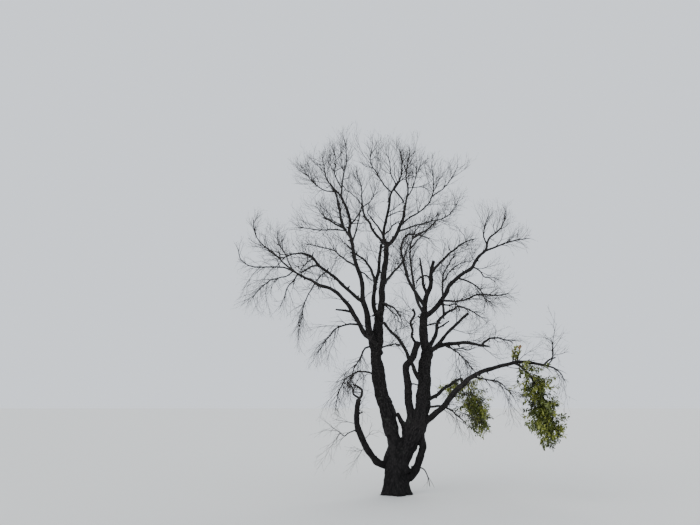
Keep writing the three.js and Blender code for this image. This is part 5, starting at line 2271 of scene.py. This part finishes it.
LEFT_BOUGHS = (
    "left_outer_limb", "left_long_limb", "left_upper_limb", "left_rising_limb", "centre_left_limb",
    "left_low_bough",
)
CENTRE_BOUGHS = (
    "centre_limb", "crossing_limb", "crown_limb", "crown_right_limb", "cross_limb", "sinuous_limb",
)
RIGHT_BOUGHS = (
    "right_blunt_limb", "right_long_limb", "right_inner_limb", "right_level_limb", "broken_limb",
    "right_middle_limb", "right_low_bough", "right_low_reach",
)
STEMS = ("left_stem", "middle_stem", "right_stem", "right_upper_stem")
TRUNK = ("column", "left_foot", "right_foot", "strut", *STEMS)
LEFT_WAIST = Press((-0.37, -0.05, 1.45), (0.14, 0, 0), 0.36)
CROTCH_WEB = Press((0.32, -0.03, 1.86), (-0.1, 0, 0), 0.2)
COARSE = 0.017
CLOSE = 0.013

WOODS = (
    Wood("trunk_and_stems", ("trunk", *STEMS), TRUNK, ("fork_snag",), COARSE,
         fuller=(("middle_stem", 1.25),), presses=(LEFT_WAIST, CROTCH_WEB)),
    Wood("left_boughs", LEFT_BOUGHS, LEFT_BOUGHS, ("outer_stub",), CLOSE, fuller=(("left_low_bough", 1.1),)),
    Wood("centre_boughs", CENTRE_BOUGHS, CENTRE_BOUGHS, (), CLOSE),
    Wood("right_boughs", RIGHT_BOUGHS, RIGHT_BOUGHS,
         ("blunt_snag", "level_stub", "short_arm", "reach_stub"), CLOSE),
)

REGIONS = (
    TwigCrown(
        "left_twigs",
        ("left_end_twigs", "left_end_low_twigs", "left_hanging_twigs", "left_side_twigs"),
        ("left_outer_limb", "left_long_limb"),
        ("hub_droop", "long_droop"),
    ),
    TwigCrown(
        "left_upper_twigs",
        ("left_upper_end_twigs", "left_inner_twigs", "left_fork_twigs"),
        ("left_upper_limb", "left_rising_limb"),
        ("under_arc", "inner_arc", "steep_link", "inner_link"),
    ),
    TwigCrown(
        "top_left_twigs",
        ("left_top_twigs", "left_top_outer_twigs", "crossing_twigs"),
        ("centre_left_limb", "crossing_limb"),
        ("crown_stub", "rising_fork", "second_riser", "third_riser", "thin_level", "first_crown_side"),
        highest=12.1,
    ),
    TwigCrown(
        "top_twigs",
        ("crown_twigs", "crown_right_twigs", "crown_side_twigs", "crown_reach_twigs"),
        ("crown_limb", "crown_right_limb", "cross_limb", "centre_limb"),
        ("twin_crossing", "crown_link", "crown_arc", "crown_side_link", "crown_twin", "arm_link"),
        most_fine=5,
        most_finest=9,
    ),
    TwigCrown(
        "middle_twigs",
        ("arching_twigs", "centre_hanging_twigs", "centre_side_twigs", "right_front_twigs",
         "right_back_twigs", "right_inner_twigs", "right_tall_twigs"),
        ("right_blunt_limb", "right_inner_limb", "sinuous_limb"),
        ("arching_branch", "link_branch", "hanging_branch", "side_link", "small_link", "back_riser"),
        most_fine=3,
        most_finest=5,
        stout=1.3,
    ),
    TwigCrown(
        "right_twigs",
        ("right_arm_twigs", "right_end_rising_twigs", "right_end_twigs", "right_side_twigs",
         "right_level_twigs"),
        ("right_long_limb", "right_level_limb", "broken_limb", "right_middle_limb"),
        ("outer_droop", "inner_droop", "level_link", "under_level"),
        stout=1.2,
    ),
    TwigCrown(
        "low_twigs",
        ("right_low_hanging_twigs", "low_reach_end_twigs", "low_reach_inner_twigs", "left_low_end_twigs",
         "left_drooping_twigs", "left_inner_drooping_twigs"),
        ("right_low_bough", "right_low_reach", "left_low_bough"),
        ("low_fork", "root_shoot", "low_left_fork"),
        most_fine=4,
        most_finest=6,
        past_boughs=1.5,
    ),
)
# Painted light in both mixes: the palest and sunlit tints are painted sunlight, and the darkest tint in the
# first is painted shade.
FRESH = ((Tint.PAINTED_SUN_HIGHLIGHT, 0.07), (Tint.SUNLIT, 0.3), (Tint.GREEN, 0.34), (Tint.OLIVE, 0.2), (Tint.DARK, 0.09))
TIPS = ((Tint.RUSSET, 0.3), (Tint.PAINTED_SUN_HIGHLIGHT, 0.3), (Tint.SUNLIT, 0.22), (Tint.GREEN, 0.18))

LEAFY_PARTS = (
    LeafyMass("middle_leaves", "middle_shoots", "middle_leaf_sprays", FRESH, lowest=1.5, hang=0.3,
              bough="right_middle_limb"),
    LeafyMass("hanging_leaves", "hanging_shoots", "hanging_leaf_sprays", FRESH, lowest=1.25, hang=0.3,
              bough="right_low_reach", bough_span=(0.66, 0.82), hem=1.1),
    Sprouts("upright_leaves", "upright_shoots", "upright_leaf_sprays", TIPS, lowest=3.9, hang=-0.9,
            habit=SPROUTING, hem=0, forward=1.5, spacing=0.03, length=0.11),
)


def main() -> None:
    """Build the tree, its wood first, and then the studio."""
    logging.basicConfig(level=logging.INFO)
    curves = Curves(Skeleton())
    bark, young_bark = BarkFinish(), TwigFinish()
    for wood in WOODS:
        wood.build(curves, bark)
    for part in (*REGIONS, *LEAFY_PARTS):
        part.build(curves, young_bark)
    Studio().build()


if __name__ == "__main__":
    main()
